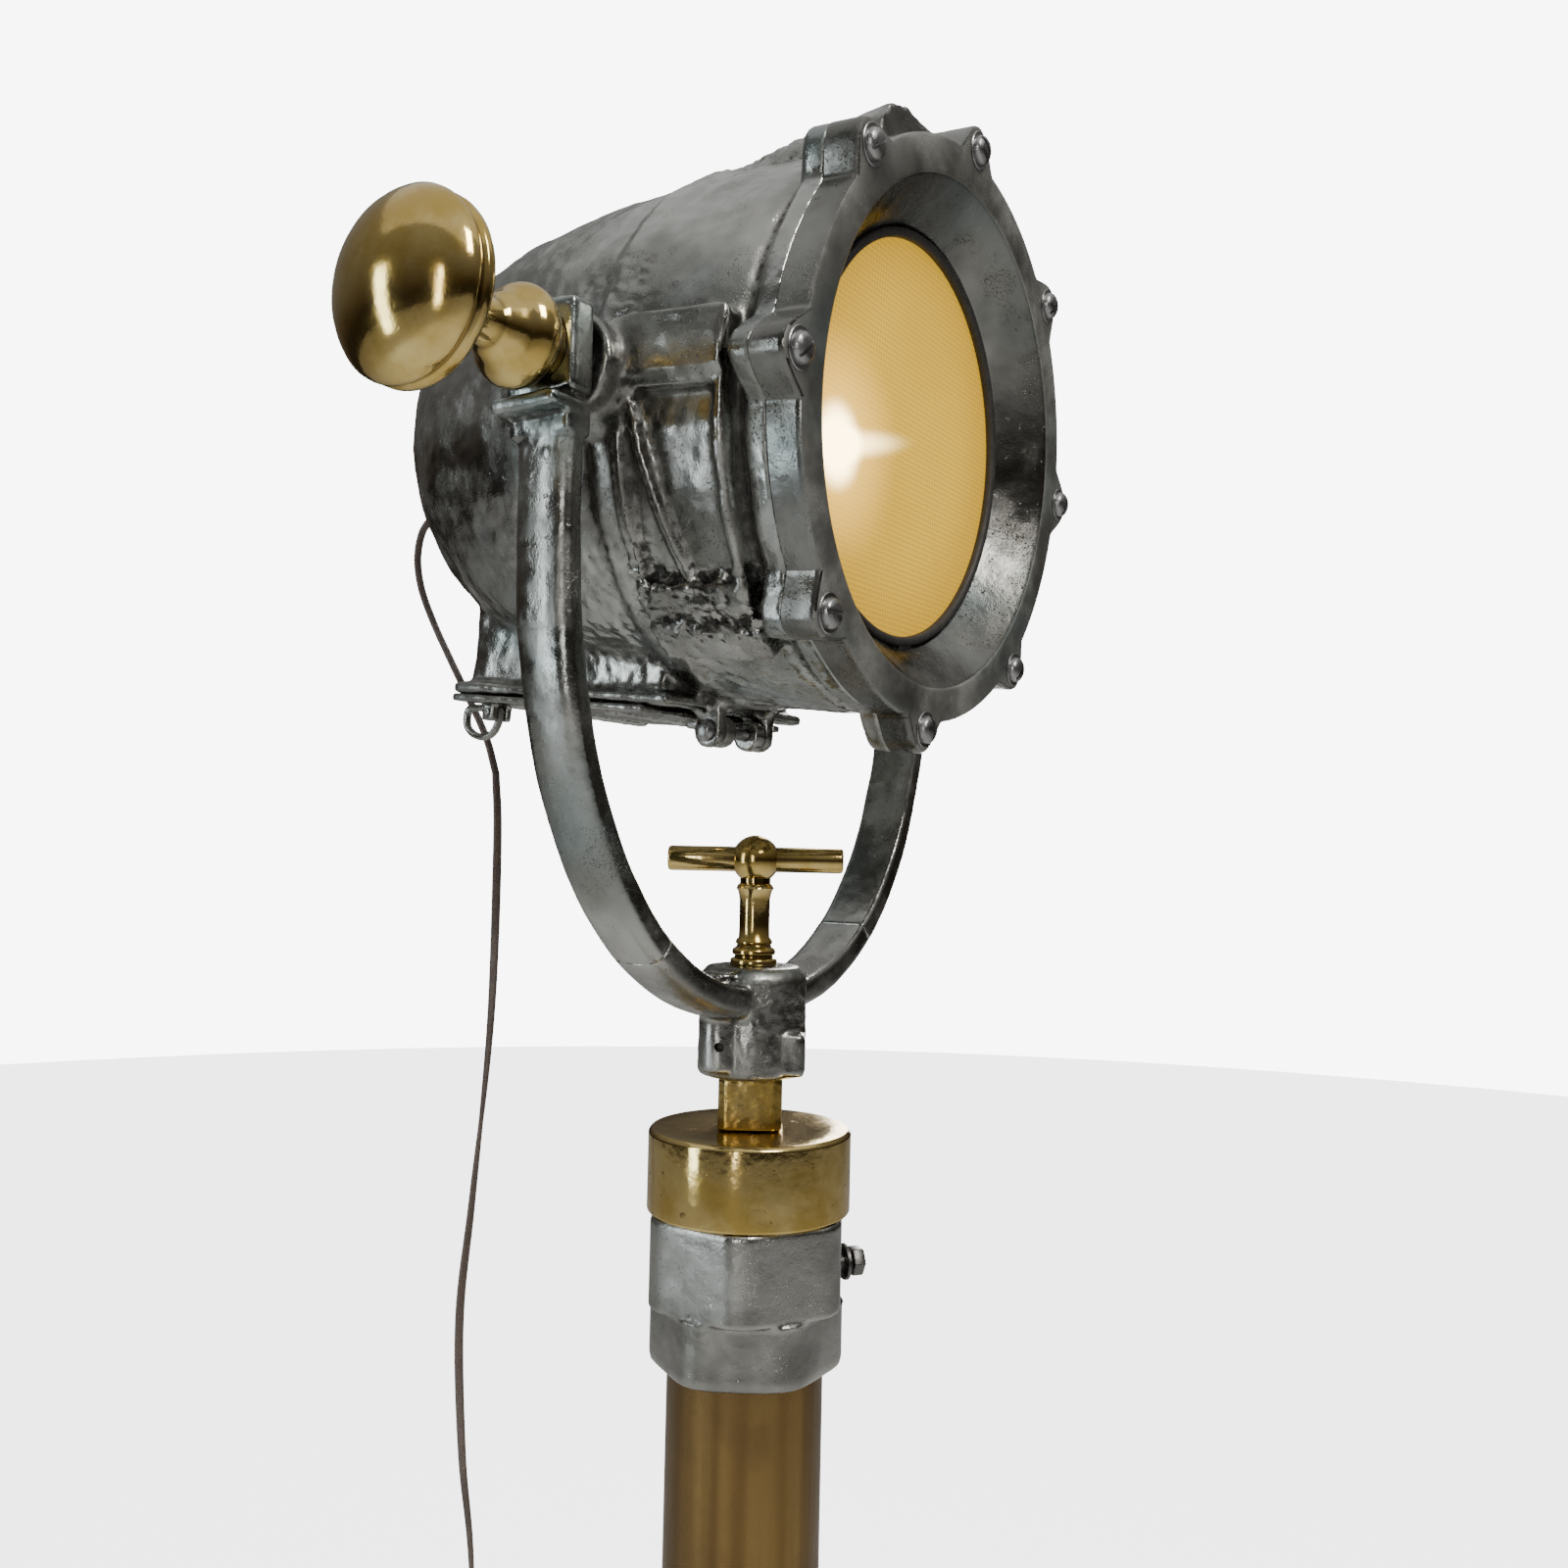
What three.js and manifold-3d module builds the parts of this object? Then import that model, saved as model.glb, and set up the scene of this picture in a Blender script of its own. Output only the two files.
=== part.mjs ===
// Searchlight floor lamp on a folding tripod: cast head in a fork, brass fittings, brass-toned column.
// Millimetres, +Z up, floor at Z = 0. The beam points to -Y, 5 degrees below level, and the clamp
// knob is on the -X side.

import * as THREE from 'three';
import { mergeVertices } from 'three/addons/utils/BufferGeometryUtils.js';
import Module from 'manifold-3d';

const wasm = await Module();
wasm.setup();

// Stance and heights
const footReach = 420;          // column axis to the middle of a foot
const mastY = footReach / 4;    // puts the three feet's box in the middle of the frame
const pivotZ = 1600;            // trunnion axis of the head
const restTilt = 4.9;           // degrees that the beam dips at rest
const gap = 0.3;                // clearance between touching pieces

// Column and its top fittings
const columnR = 38;
const columnWall = 2.5;
const columnBottomZ = 570;
const collarZ = 1150.5;
const collarStepZ = 1182;
const capZ = 1224;
const capTopZ = 1264;
const capR = 49.7;
const neckTopZ = 1289.4;
const neckSize = 31;
const hubTopZ = 1343;
const hubR = 26.5;
const spigotR = 12;
const spigotTopZ = 1322;
const handleZ = 1395;

// Fork
const forkHalf = 165;           // to the outside of each arm
const armThick = 12.5;
const armWide = 29;
const forkCurveZ = -70;         // where the straight arms start to curve, from the pivot
const forkDrop = 213;           // height of the curved part, outside
const forkBaseThick = 15.5;
const forkSplitX = 95;          // joint between an arm and the base casting
const trunnionR = 8;

// Head, measured from the trunnion axis, beam along -Y
const faceY = -104;
const bezelBackY = -88;
const screwCircle = 134.5;
const lugR = 11.5;
const lugCount = 8;
const rimR = 130.5;
const mouthR = 115.5;
const lipR = 95.6;
const seatR = 97.8;
const glassY = -79.2;
const glassThick = 5;
const shellWall = 5;
const boxHalf = 55;
const boxBackY = 135;
const boxFrontY = 6;
const boxBottom = -134;
const coverHingeY = 2;
const coverHingeZ = -143;

// Tripod
const legPivotR = 78;
const legPivotZ = 620;
const footZ = 22;
const legCount = 3;
const legTubeR = 17;
const pinR = 5;
const pinSides = 12;

// Cord, lying free: [x, y from the column axis, z]
const cordR = 2.5;
const cordSides = 6;
const glandZ = -24;
const reliefTipY = 220;
const loopPoints = [[0, 221.7, 1594.8], [0, 232, 1594], [0, 243, 1586], [0, 247, 1570], [0, 243, 1551],
  [0, 232, 1530], [0, 217, 1507], [0, 200, 1482], [0, 186, 1460], [0, 178, 1440]];
const dropPoints = [[0, 177.4, 1439], [0, 175, 1400], [2, 178, 1300], [0, 186, 1200], [-1, 192, 1133],
  [0, 188, 1060], [0, 178, 1000], [1, 174, 900], [0, 178, 700], [0, 182, 500], [0, 184, 300], [0, 184, 160]];
const floorPoints = [[0, 184, 159.6], [0, 184, 80], [0, 186, 45], [0, 192, 19], [0, 206, 5], [0, 224, 2.8],
  [-4, 250, 2.8], [-14, 272, 2.8]];
const switchCentre = [-29, 295];
const leadPoints = [[-44, 318, 2.8], [-50, 332, 2.8], [-50, 352, 2.8], [-34, 368, 2.8], [-10, 371, 2.8],
  [10, 357.6, 2.8]];
const coilCentre = [16, 318];
const coilR = 28.5;
const coilWide = 15;
const coilHigh = 7.4;

const finishes = {
  castAluminium: { color: 0x9a9c9c, roughness: 0.35, metalness: 1 },
  brass: { color: 0xb08a3e, roughness: 0.22, metalness: 1 },
  satinBrass: { color: 0x7c6038, roughness: 0.42, metalness: 1 },
  steel: { color: 0x8c8d8e, roughness: 0.4, metalness: 1 },
  reflectorAluminium: { color: 0xd8d9da, roughness: 0.12, metalness: 1 },
  amberGlass: { color: 0xe0b860, roughness: 0.3, metalness: 0 },
  rubber: { color: 0x1c1b1a, roughness: 0.8, metalness: 0 },
  ceramic: { color: 0xe8e4da, roughness: 0.35, metalness: 0 },
  flex: { color: 0x5a4f48, roughness: 0.6, metalness: 0 },
  plastic: { color: 0x1e1d1c, roughness: 0.45, metalness: 0 },
};

const lamp = new THREE.Group();

// --- making and joining solids ---

function signedVolume(position, index) {
  const a = new THREE.Vector3();
  const b = new THREE.Vector3();
  const c = new THREE.Vector3();
  let volume = 0;
  for (let i = 0; i < index.length; i += 3) {
    a.fromBufferAttribute(position, index[i]);
    b.fromBufferAttribute(position, index[i + 1]);
    c.fromBufferAttribute(position, index[i + 2]);
    volume += a.dot(b.cross(c)) / 6;
  }
  return volume;
}

function toSolid(geometry) {
  const bare = geometry.clone();
  bare.deleteAttribute('normal');
  bare.deleteAttribute('uv');
  const merged = mergeVertices(bare, 1e-3);
  const source = merged.index.array;
  const kept = [];
  for (let i = 0; i < source.length; i += 3) {
    const [a, b, c] = [source[i], source[i + 1], source[i + 2]];
    if (a !== b && b !== c && c !== a) kept.push(a, b, c);
  }
  if (signedVolume(merged.attributes.position, kept) < 0) kept.reverse();
  const vertProperties = new Float32Array(merged.attributes.position.array);
  const triVerts = new Uint32Array(kept);
  return new wasm.Manifold(new wasm.Mesh({ numProp: 3, vertProperties, triVerts }));
}

function toGeometry(solid) {
  const mesh = solid.getMesh();
  const geometry = new THREE.BufferGeometry();
  geometry.setAttribute('position', new THREE.BufferAttribute(mesh.vertProperties, 3));
  geometry.setIndex(new THREE.BufferAttribute(mesh.triVerts, 1));
  return geometry;
}

function join(first, ...others) {
  return others.reduce((solid, other) => solid.add(toSolid(other)), toSolid(first));
}

function cut(solid, ...tools) {
  return tools.reduce((left, tool) => left.subtract(toSolid(tool)), solid);
}

function add(group, name, solid, finish) {
  const geometry = toGeometry(solid.getMesh ? solid : toSolid(solid));
  geometry.computeVertexNormals();
  const mesh = new THREE.Mesh(geometry, new THREE.MeshStandardMaterial(finishes[finish]));
  mesh.name = name;
  group.add(mesh);
  return mesh;
}

// --- shapes ---

function moved(geometry, x, y, z) {
  return geometry.translate(x, y, z);
}

function box(wide, deep, high, x, y, z) {
  return moved(new THREE.BoxGeometry(wide, deep, high), x, y, z);
}

// Rod between two points, with flat ends
function rod(radius, from, to, sides = 14) {
  const start = new THREE.Vector3(...from);
  const span = new THREE.Vector3(...to).sub(start);
  const geometry = new THREE.CylinderGeometry(radius, radius, span.length(), sides);
  geometry.translate(0, span.length() / 2, 0);
  const turn = new THREE.Quaternion().setFromUnitVectors(new THREE.Vector3(0, 1, 0), span.normalize());
  return geometry.applyQuaternion(turn).translate(start.x, start.y, start.z);
}

// Turned shape round the Y axis from [radius, y] points
function turnedY(profile, sides = 32) {
  return new THREE.LatheGeometry(profile.map(([r, y]) => new THREE.Vector2(r, y)), sides);
}

function turnedZ(profile, sides = 32) {
  return turnedY(profile, sides).rotateX(Math.PI / 2);
}

// Turned shape round the X axis, with the profile's height measured outwards to -X or +X
function turnedX(profile, side, sides = 16) {
  return turnedY(profile, sides).rotateZ(side < 0 ? Math.PI / 2 : -Math.PI / 2);
}

function ring(profile) {
  return [...profile, profile[0]];
}

// Plate in the YZ plane, from an outline of [y, z] points, centred on x
function platedYZ(outline, thick, x, hole) {
  const shape = new THREE.Shape(outline.map(([y, z]) => new THREE.Vector2(y, z)));
  if (hole) shape.holes.push(new THREE.Path(hole.map(([y, z]) => new THREE.Vector2(y, z))));
  const geometry = new THREE.ExtrudeGeometry(shape, { depth: thick, bevelEnabled: false });
  geometry.applyMatrix4(new THREE.Matrix4().makeBasis(
    new THREE.Vector3(0, 1, 0), new THREE.Vector3(0, 0, 1), new THREE.Vector3(1, 0, 0)));
  return moved(geometry, x - thick / 2, 0, 0);
}

function prismZ(outline, bottom, top) {
  const shape = new THREE.Shape(outline.map(([x, y]) => new THREE.Vector2(x, y)));
  const geometry = new THREE.ExtrudeGeometry(shape, { depth: top - bottom, bevelEnabled: false });
  return moved(geometry, 0, 0, bottom);
}

function arcPoints(radius, from, to, steps, centre = [0, 0]) {
  const points = [];
  for (let i = 0; i <= steps; i += 1) {
    const angle = THREE.MathUtils.degToRad(from + (to - from) * i / steps);
    points.push([centre[0] + radius * Math.cos(angle), centre[1] + radius * Math.sin(angle)]);
  }
  return points;
}

function platedXZ(outline, wide) {
  const shape = new THREE.Shape(outline.map(([x, z]) => new THREE.Vector2(x, z)));
  const geometry = new THREE.ExtrudeGeometry(shape, { depth: wide, bevelEnabled: false });
  return geometry.rotateX(Math.PI / 2).translate(0, wide / 2, 0);
}

// Part of a ring round the Y axis, from one angle to another
function sector(inner, outer, from, to, wide, y) {
  const outline = [...arcPoints(outer, from, to, 8), ...arcPoints(inner, to, from, 8)];
  return platedXZ(outline, wide).translate(0, y, 0);
}

// Tube of a round section along a smooth line through the points
function tube(points, radius, sides, steps) {
  const curve = new THREE.CatmullRomCurve3(points.map((p) => new THREE.Vector3(...p)), false, 'centripetal');
  const section = new THREE.Shape(arcPoints(radius, 0, 360 - 360 / sides, sides - 1)
    .map(([x, y]) => new THREE.Vector2(x, y)));
  return new THREE.ExtrudeGeometry(section, { extrudePath: curve, steps, bevelEnabled: false });
}

// --- groups ---

const mast = new THREE.Group();
mast.position.set(0, mastY, 0);
lamp.add(mast);

const head = new THREE.Group();
head.position.set(0, mastY, pivotZ);
head.rotation.x = THREE.MathUtils.degToRad(restTilt);
lamp.add(head);

const fork = new THREE.Group();
fork.position.set(0, mastY, pivotZ);
lamp.add(fork);

// --- head ---

// Outside of the casting as [radius, y], from the flange to the back
const shellOutside = [[129, bezelBackY + gap], [129, -76], [125, -74], [125, -70], [128.5, -68], [129.5, 6],
  [126.5, 9], [124, 40], [119, 77], [110, 115], [98, 143], [80, 165], [56, 179], [28, 187], [0, 190]];
const shellInside = [[121, bezelBackY - 1], [121, 8], [119, 40], [114, 76], [105, 112], [93, 139], [76, 160],
  [54, 173], [28, 181], [0, 190 - shellWall]];

function lugRods(front, back, radius, sides) {
  const rods = [];
  for (let i = 0; i < lugCount; i += 1) {
    const angle = i * 2 * Math.PI / lugCount;
    const x = screwCircle * Math.cos(angle);
    const z = screwCircle * Math.sin(angle);
    rods.push(rod(radius, [x, front, z], [x, back, z], sides));
  }
  return rods;
}

function makeHeadBody() {
  const boxDeep = boxBackY - boxFrontY;
  const boxMidY = (boxBackY + boxFrontY) / 2;
  const lip = 6;
  const hinge = [coverHingeY, coverHingeZ];
  const dome = turnedY([[0, bezelBackY + gap], ...shellOutside]);
  const raised = [
    box(2 * boxHalf, boxDeep, 95, 0, boxMidY, boxBottom + 47.5),                  // lamp box
    box(2 * (boxHalf + lip), boxDeep + 2 * lip, 6, 0, boxMidY, boxBottom + 3),    // lip for the cover
    sector(118, 136, 171, 236, 64, -42), sector(118, 136, 9, -56, 64, -42),       // side pads
    box(120, 72, 30, 0, -36, 122.5),                                              // crown pad
    rod(21, [-149, 0, 0], [-110, 0, 0], 18), rod(21, [110, 0, 0], [149, 0, 0], 18),
    rod(8.5, [-25, ...hinge], [-18, ...hinge]), rod(8.5, [18, ...hinge], [25, ...hinge]),
    box(7, 14, 16, -21.5, coverHingeY, coverHingeZ + 10), box(7, 14, 16, 21.5, coverHingeY, coverHingeZ + 10),
    ...lugRods(bezelBackY + gap, -76, lugR, 10),
  ];
  const hollows = [
    turnedY([[0, bezelBackY - 1], ...shellInside]),
    box(2 * boxHalf - 10, boxDeep - 10, 70, 0, boxMidY, boxBottom + 34),
    sector(130.5, 150, 185, 220, 52, -42), sector(130.5, 150, -5, -40, 52, -42),  // side pockets
    rod(trunnionR + gap, [-160, 0, 0], [160, 0, 0]),
    rod(3 + gap, [-40, ...hinge], [40, ...hinge], 12),
    rod(7, [0, 160, glandZ], [0, 200, glandZ]),                                   // way out for the cord
    ...lugRods(bezelBackY - 1, -66, 3.3, 6),
  ];
  return cut(join(dome, ...raised), ...hollows);
}

function makeBezel() {
  const profile = ring([[mouthR, faceY], [rimR - 1.5, faceY], [rimR, faceY + 1.5], [rimR, bezelBackY],
    [120.5, bezelBackY], [120.5, -72], [seatR, -72], [seatR, -81], [lipR, -81]]);
  const band = join(turnedY(profile), ...lugRods(faceY, bezelBackY, lugR, 12));
  return cut(band, ...lugRods(faceY - 5, bezelBackY + 5, 3.3, 8));
}

function makeScrew() {
  const top = faceY - gap;
  const form = turnedY([[0, -79], [2.6, -79], [2.6, top], [6.5, top], [6, top - 2.4], [3.6, top - 4.2],
    [0, top - 4.2]], 8);
  return cut(toSolid(form), box(14, 3, 1.3, 0, top - 4.2, 0));
}

function makeReflector() {
  const bowl = [[22, 34], [44, 22], [64, 2], [80, -26], [90, -58], [94, -68]];
  const outer = bowl.map(([r, y]) => [r + 1.4, y + 0.6]).reverse();
  return turnedY(ring([...bowl, ...outer]), 24);
}

function makeBulb() {
  return turnedY([[0, 66], [12.5, 66], [13, 44], [15, 36], [24, 20], [29, 4], [28, -12], [20, -24],
    [10, -29], [0, -30]], 14);
}

function makeHolder() {
  return turnedY(ring([[0, 96], [19, 96], [20, 90], [20, 46], [13.4, 46], [13.4, 67], [0, 67]]), 14);
}

function makeBracket() {
  const strip = join(box(208, 3, 16, 0, 99.2, 0), box(8, 16, 16, -100, 92, 0), box(8, 16, 16, 100, 92, 0));
  return cut(strip, rod(4, [0, 90, 0], [0, 110, 0], 12));
}

function makeTrunnion(side, end) {
  return turnedX([[0, 112], [14, 112], [14, 119], [trunnionR, 119], [trunnionR, end], [0, end]], side);
}

add(head, 'head_body', makeHeadBody(), 'castAluminium');
add(head, 'front_bezel', makeBezel(), 'castAluminium');
for (let i = 0; i < lugCount; i += 1) {
  const angle = i * 2 * Math.PI / lugCount;
  const screw = add(head, `bezel_screw_${i + 1}`, makeScrew(), 'steel');
  screw.position.set(screwCircle * Math.cos(angle), 0, screwCircle * Math.sin(angle));
  screw.rotation.y = i;
}
add(head, 'glass_gasket', turnedY(ring([[92, -80.7], [97.5, -80.7], [97.5, -79.5], [92, -79.5]])), 'rubber');
add(head, 'front_glass', turnedY([[0, glassY], [97.5, glassY], [97.5, glassY + glassThick],
  [0, glassY + glassThick]]), 'amberGlass');
add(head, 'glass_retainer', turnedY(ring([[90, -73.9], [97.5, -73.9], [97.5, -72.2], [90, -72.2]])), 'steel');
add(head, 'reflector', makeReflector(), 'reflectorAluminium');
add(head, 'bulb', makeBulb(), 'amberGlass');
add(head, 'lamp_holder', makeHolder(), 'ceramic');
add(head, 'holder_bracket', makeBracket(), 'steel');
add(head, 'trunnion_stud_left', makeTrunnion(-1, 188), 'steel');
add(head, 'trunnion_stud_right', makeTrunnion(1, 184), 'steel');
add(head, 'cord_gland', moved(turnedY([[0, 182], [6.5, 182], [6.5, 189.4], [11, 189.4], [11, 193],
  [8, 195], [0, 195]], 16), 0, 0, glandZ), 'brass');
add(head, 'strain_relief', moved(turnedY([[0, 195.3], [5.5, 195.3], [3.4, reliefTipY], [0, reliefTipY]], 12),
  0, 0, glandZ), 'rubber');

// --- bottom cover, its hinge pin and its catch ---

const coverTop = boxBottom - gap;
const catchX = -50;
const catchY = 118;
const catchZ = coverTop - 8.5;

function makeCover() {
  const back = boxBackY + 6;
  const front = 14;
  const plate = box(2 * (boxHalf + 6), back - front, 4, 0, (back + front) / 2, coverTop - 2);
  const hinge = [coverHingeY, coverHingeZ];
  const ears = [];
  for (const side of [-1, 1]) {
    ears.push(rod(8, [side * 9, ...hinge], [side * 17.7, ...hinge], 16));
    ears.push(box(8.7, 18, 6, side * 13.35, coverHingeY + 9, coverTop - 5));
    ears.push(box(4, 9, 10, catchX + side * 5, catchY, coverTop - 8));
  }
  return cut(join(plate, ...ears), rod(3 + gap, [-40, ...hinge], [40, ...hinge], 12),
    rod(2 + gap, [catchX - 20, catchY, catchZ], [catchX + 20, catchY, catchZ], 10));
}

function makeCatch() {
  const loop = [[0, 3.6], [20, 3.6], [23, -2], [22, -9], [16, -14], [6, -15], [-1, -11], [-3.4, -3], [-3, 1.5]];
  const slot = [[3, -4], [3, -8], [7, -11], [14, -10], [18, -6], [17, -3]];
  return join(platedYZ(loop, 4.6, 0, slot), rod(2, [-8, 0, 0], [8, 0, 0], 8))
    .translate([catchX, catchY, catchZ]);
}

function makeHingePin() {
  return turnedX([[0, -28], [3, -28], [3, 25.3], [5.5, 25.3], [5, 28.3], [0, 29]], -1, 14)
    .translate(0, coverHingeY, coverHingeZ);
}

add(head, 'bottom_cover', makeCover(), 'castAluminium');
add(head, 'cover_catch', makeCatch(), 'castAluminium');
add(head, 'cover_hinge_pin', makeHingePin(), 'steel');

// --- fork with its knob and nut ---

// Points of the fork's curve at a given inset from the outside, from x = startX down to x = endX
function forkCurve(inset, bottomInset, endX) {
  const half = forkHalf - inset;
  const drop = forkDrop - bottomInset;
  const power = 2.2;
  const stepCount = 11;
  const points = [];
  for (let i = 0; i <= stepCount; i += 1) {
    const angle = i / stepCount * Math.acos((endX / half) ** (power / 2));
    points.push([half * Math.cos(angle) ** (2 / power), forkCurveZ - drop * Math.sin(angle) ** (2 / power)]);
  }
  return points;
}

function makeArm(side) {
  const outside = forkCurve(0, 0, forkSplitX);
  const inside = forkCurve(armThick, forkBaseThick, forkSplitX);
  const outline = [[forkHalf, 20], ...outside, ...inside.reverse(), [forkHalf - armThick, 20]];
  const sided = outline.map(([x, z]) => [side * x, z]);
  const endBlock = box(13.5, 36, 38, side * 159.5, 0, 0);
  const ledge = box(17, 33, 6, side * 161, 0, -23);
  return cut(join(platedXZ(sided, armWide), endBlock, ledge),
    rod(trunnionR + gap, [side * 140, 0, 0], [side * 180, 0, 0]));
}

function makeForkBase() {
  const outside = forkCurve(0, 0, 0).filter(([x]) => x < forkSplitX - 2);
  const inside = forkCurve(armThick, forkBaseThick, 0).filter(([x]) => x < forkSplitX - 2);
  const edge = forkSplitX - gap;
  const half = [[edge, edgeHeight(0, 0, edge)], ...outside];
  const back = [[edge, edgeHeight(armThick, forkBaseThick, edge)], ...inside];
  const right = [...half, ...half.slice(0, -1).reverse().map(([x, z]) => [-x, z])];
  const left = [...back, ...back.slice(0, -1).reverse().map(([x, z]) => [-x, z])].reverse();
  const bar = platedXZ([...right, ...left], armWide);
  const bottom = neckTopZ + gap - pivotZ;
  const top = hubTopZ - pivotZ;
  const hub = turnedZ([[0, bottom], [hubR - 2, bottom], [hubR, bottom + 2], [hubR, top - 4], [hubR - 4, top],
    [0, top]], 20);
  const bore = rod(spigotR + gap, [0, 0, bottom - 1], [0, 0, spigotTopZ + 1 - pivotZ], 16);
  const thread = rod(5.5 + gap, [0, 0, bottom], [0, 0, top + 1], 14);
  return cut(join(bar, hub), bore, thread);
}

function edgeHeight(inset, bottomInset, x) {
  const power = 2.2;
  const share = 1 - (x / (forkHalf - inset)) ** power;
  return forkCurveZ - (forkDrop - bottomInset) * share ** (1 / power);
}

function makeKnob() {
  const start = forkHalf + 1.6;
  const profile = ring([[trunnionR + gap, start], [15, start], [19.5, 171], [21, 179], [19, 187], [13, 193],
    [9, 197], [8.5, 208], [11, 216], [20, 222], [33, 228], [36.3, 233], [36.3, 236.5], [34, 241], [26, 247.5],
    [14, 252], [0, 253.5], [0, 190], [trunnionR + gap, 190]]);
  return turnedX(profile, -1, 20);
}

function makeTrunnionNut() {
  const start = forkHalf + 1.6;
  const hexagon = turnedX([[0, start], [14, start], [14, start + 10], [11, start + 14], [0, start + 14]], 1, 6);
  return cut(toSolid(hexagon), rod(trunnionR + gap, [140, 0, 0], [200, 0, 0]));
}

add(fork, 'fork_arm_left', makeArm(-1), 'castAluminium');
add(fork, 'fork_arm_right', makeArm(1), 'castAluminium');
add(fork, 'fork_base', makeForkBase(), 'castAluminium');
add(fork, 'clamp_knob', makeKnob(), 'brass');
add(fork, 'trunnion_nut', makeTrunnionNut(), 'steel');

// --- clamping handle on the fork's hub ---

const handleTurn = -57.7;       // degrees from +X that the bar points at rest

function makeHandle() {
  const base = hubTopZ + gap;
  const stem = turnedZ([[0, spigotTopZ + 1], [5.5, spigotTopZ + 1], [5.5, base], [11.5, base], [11.5, base + 3],
    [9.8, base + 4], [9.8, base + 7], [10.8, base + 8], [9, base + 11], [7.6, base + 20], [7.6, handleZ - 6],
    [0, handleZ - 6]], 12);
  const ball = moved(new THREE.SphereGeometry(12, 12, 8), 0, 0, handleZ);
  return join(stem, ball, rod(6.2, [-43.5, 0, handleZ], [43.5, 0, handleZ]));
}

const handle = new THREE.Group();
handle.position.y = mastY;
handle.rotation.z = THREE.MathUtils.degToRad(handleTurn);
lamp.add(handle);
add(handle, 't_handle', makeHandle(), 'brass');

// --- column ---

const neckTurn = 32.3;          // degrees that the square neck is turned from the frame's axes
const boltTurn = -37.7;         // degrees from +X that the collar's bolt points
const boltZ = 1194;

function makeNeck() {
  const half = neckSize / 2;
  const chamfer = 3.6;
  const square = [[half, half - chamfer], [half - chamfer, half], [chamfer - half, half], [-half, half - chamfer],
    [-half, chamfer - half], [chamfer - half, -half], [half - chamfer, -half], [half, chamfer - half]];
  return join(prismZ(square, capTopZ + gap, neckTopZ), rod(spigotR, [0, 0, neckTopZ - 1], [0, 0, spigotTopZ], 16),
    rod(8, [0, 0, 1240], [0, 0, capTopZ + 1]));
}

function makePintleNut() {
  const hexagon = turnedZ([[0, 1246], [14, 1246], [14, 1255.7], [0, 1255.7]], 6);
  return cut(toSolid(hexagon), rod(8 + gap, [0, 0, 1230], [0, 0, 1270]));
}

function makeCap() {
  return turnedZ(ring([[8.4, 1256], [38.5, 1256], [38.5, capZ + gap], [capR - 0.8, capZ + gap], [capR, capZ + 1],
    [capR, capTopZ - 1.5], [capR - 1.5, capTopZ], [8.4, capTopZ]]), 32);
}

// Hexagon with its corners turned to a circle
function roundedHexagon(acrossFlats, cornerR, turn) {
  const points = [];
  const flatHalf = THREE.MathUtils.radToDeg(Math.acos(acrossFlats / 2 / cornerR));
  for (let i = 0; i < 6; i += 1) {
    const middle = turn + i * 60;
    points.push(...arcPoints(cornerR, middle + flatHalf, middle + 60 - flatHalf, 2));
  }
  return points;
}

function makeCollar() {
  const lower = prismZ(roundedHexagon(86, 47, 30), collarZ + 4, collarStepZ);
  const chamfered = turnedZ([[0, collarZ], [43, collarZ], [48, collarZ + 5], [48, collarStepZ], [0, collarStepZ]], 36);
  const foot = prismZ(roundedHexagon(86, 47, 30), collarZ, collarZ + 5);
  const upper = prismZ(roundedHexagon(92, 50, 0), collarStepZ - 0.5, capZ);
  const rough = toSolid(foot).add(toSolid(lower)).intersect(toSolid(chamfered)).add(toSolid(upper));
  const direction = THREE.MathUtils.degToRad(boltTurn);
  const aim = [60 * Math.cos(direction), 60 * Math.sin(direction), boltZ];
  return cut(rough, rod(columnR + gap, [0, 0, collarZ - 1], [0, 0, capZ + 1], 32),
    rod(4 + gap, [0, 0, boltZ], aim, 14));
}

function makeBolt() {
  return join(turnedX([[0, columnR + 0.6], [4, columnR + 0.6], [4, 55], [0, 55]], 1, 14),
    turnedX([[0, 54.5], [7.5, 54.5], [7.5, 60], [6.2, 61], [0, 61]], 1, 6));
}

add(mast, 'neck_pintle', makeNeck(), 'brass').rotation.z = THREE.MathUtils.degToRad(neckTurn);
add(mast, 'pintle_nut', makePintleNut(), 'steel');
add(mast, 'column_cap', makeCap(), 'brass');
add(mast, 'column_collar', makeCollar(), 'castAluminium');
const bolt = add(mast, 'collar_bolt', makeBolt(), 'steel');
bolt.position.z = boltZ;
bolt.rotation.z = THREE.MathUtils.degToRad(boltTurn);
add(mast, 'column_tube', turnedZ(ring([[columnR - columnWall, columnBottomZ], [columnR, columnBottomZ],
  [columnR, 1255.7], [columnR - columnWall, 1255.7]]), 32), 'satinBrass');

// --- tripod ---

const plateInner = 8.3;
const plateOuter = 17;
const hubBottomZ = 560;
const hubTopEdgeZ = 652;
const padHigh = 8;
const legLean = Math.atan2(footReach - legPivotR, legPivotZ - footZ);
const legLength = Math.hypot(footReach - legPivotR, legPivotZ - footZ);

function legTurn(i) {
  return -Math.PI / 2 + i * 2 * Math.PI / legCount;
}

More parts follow.
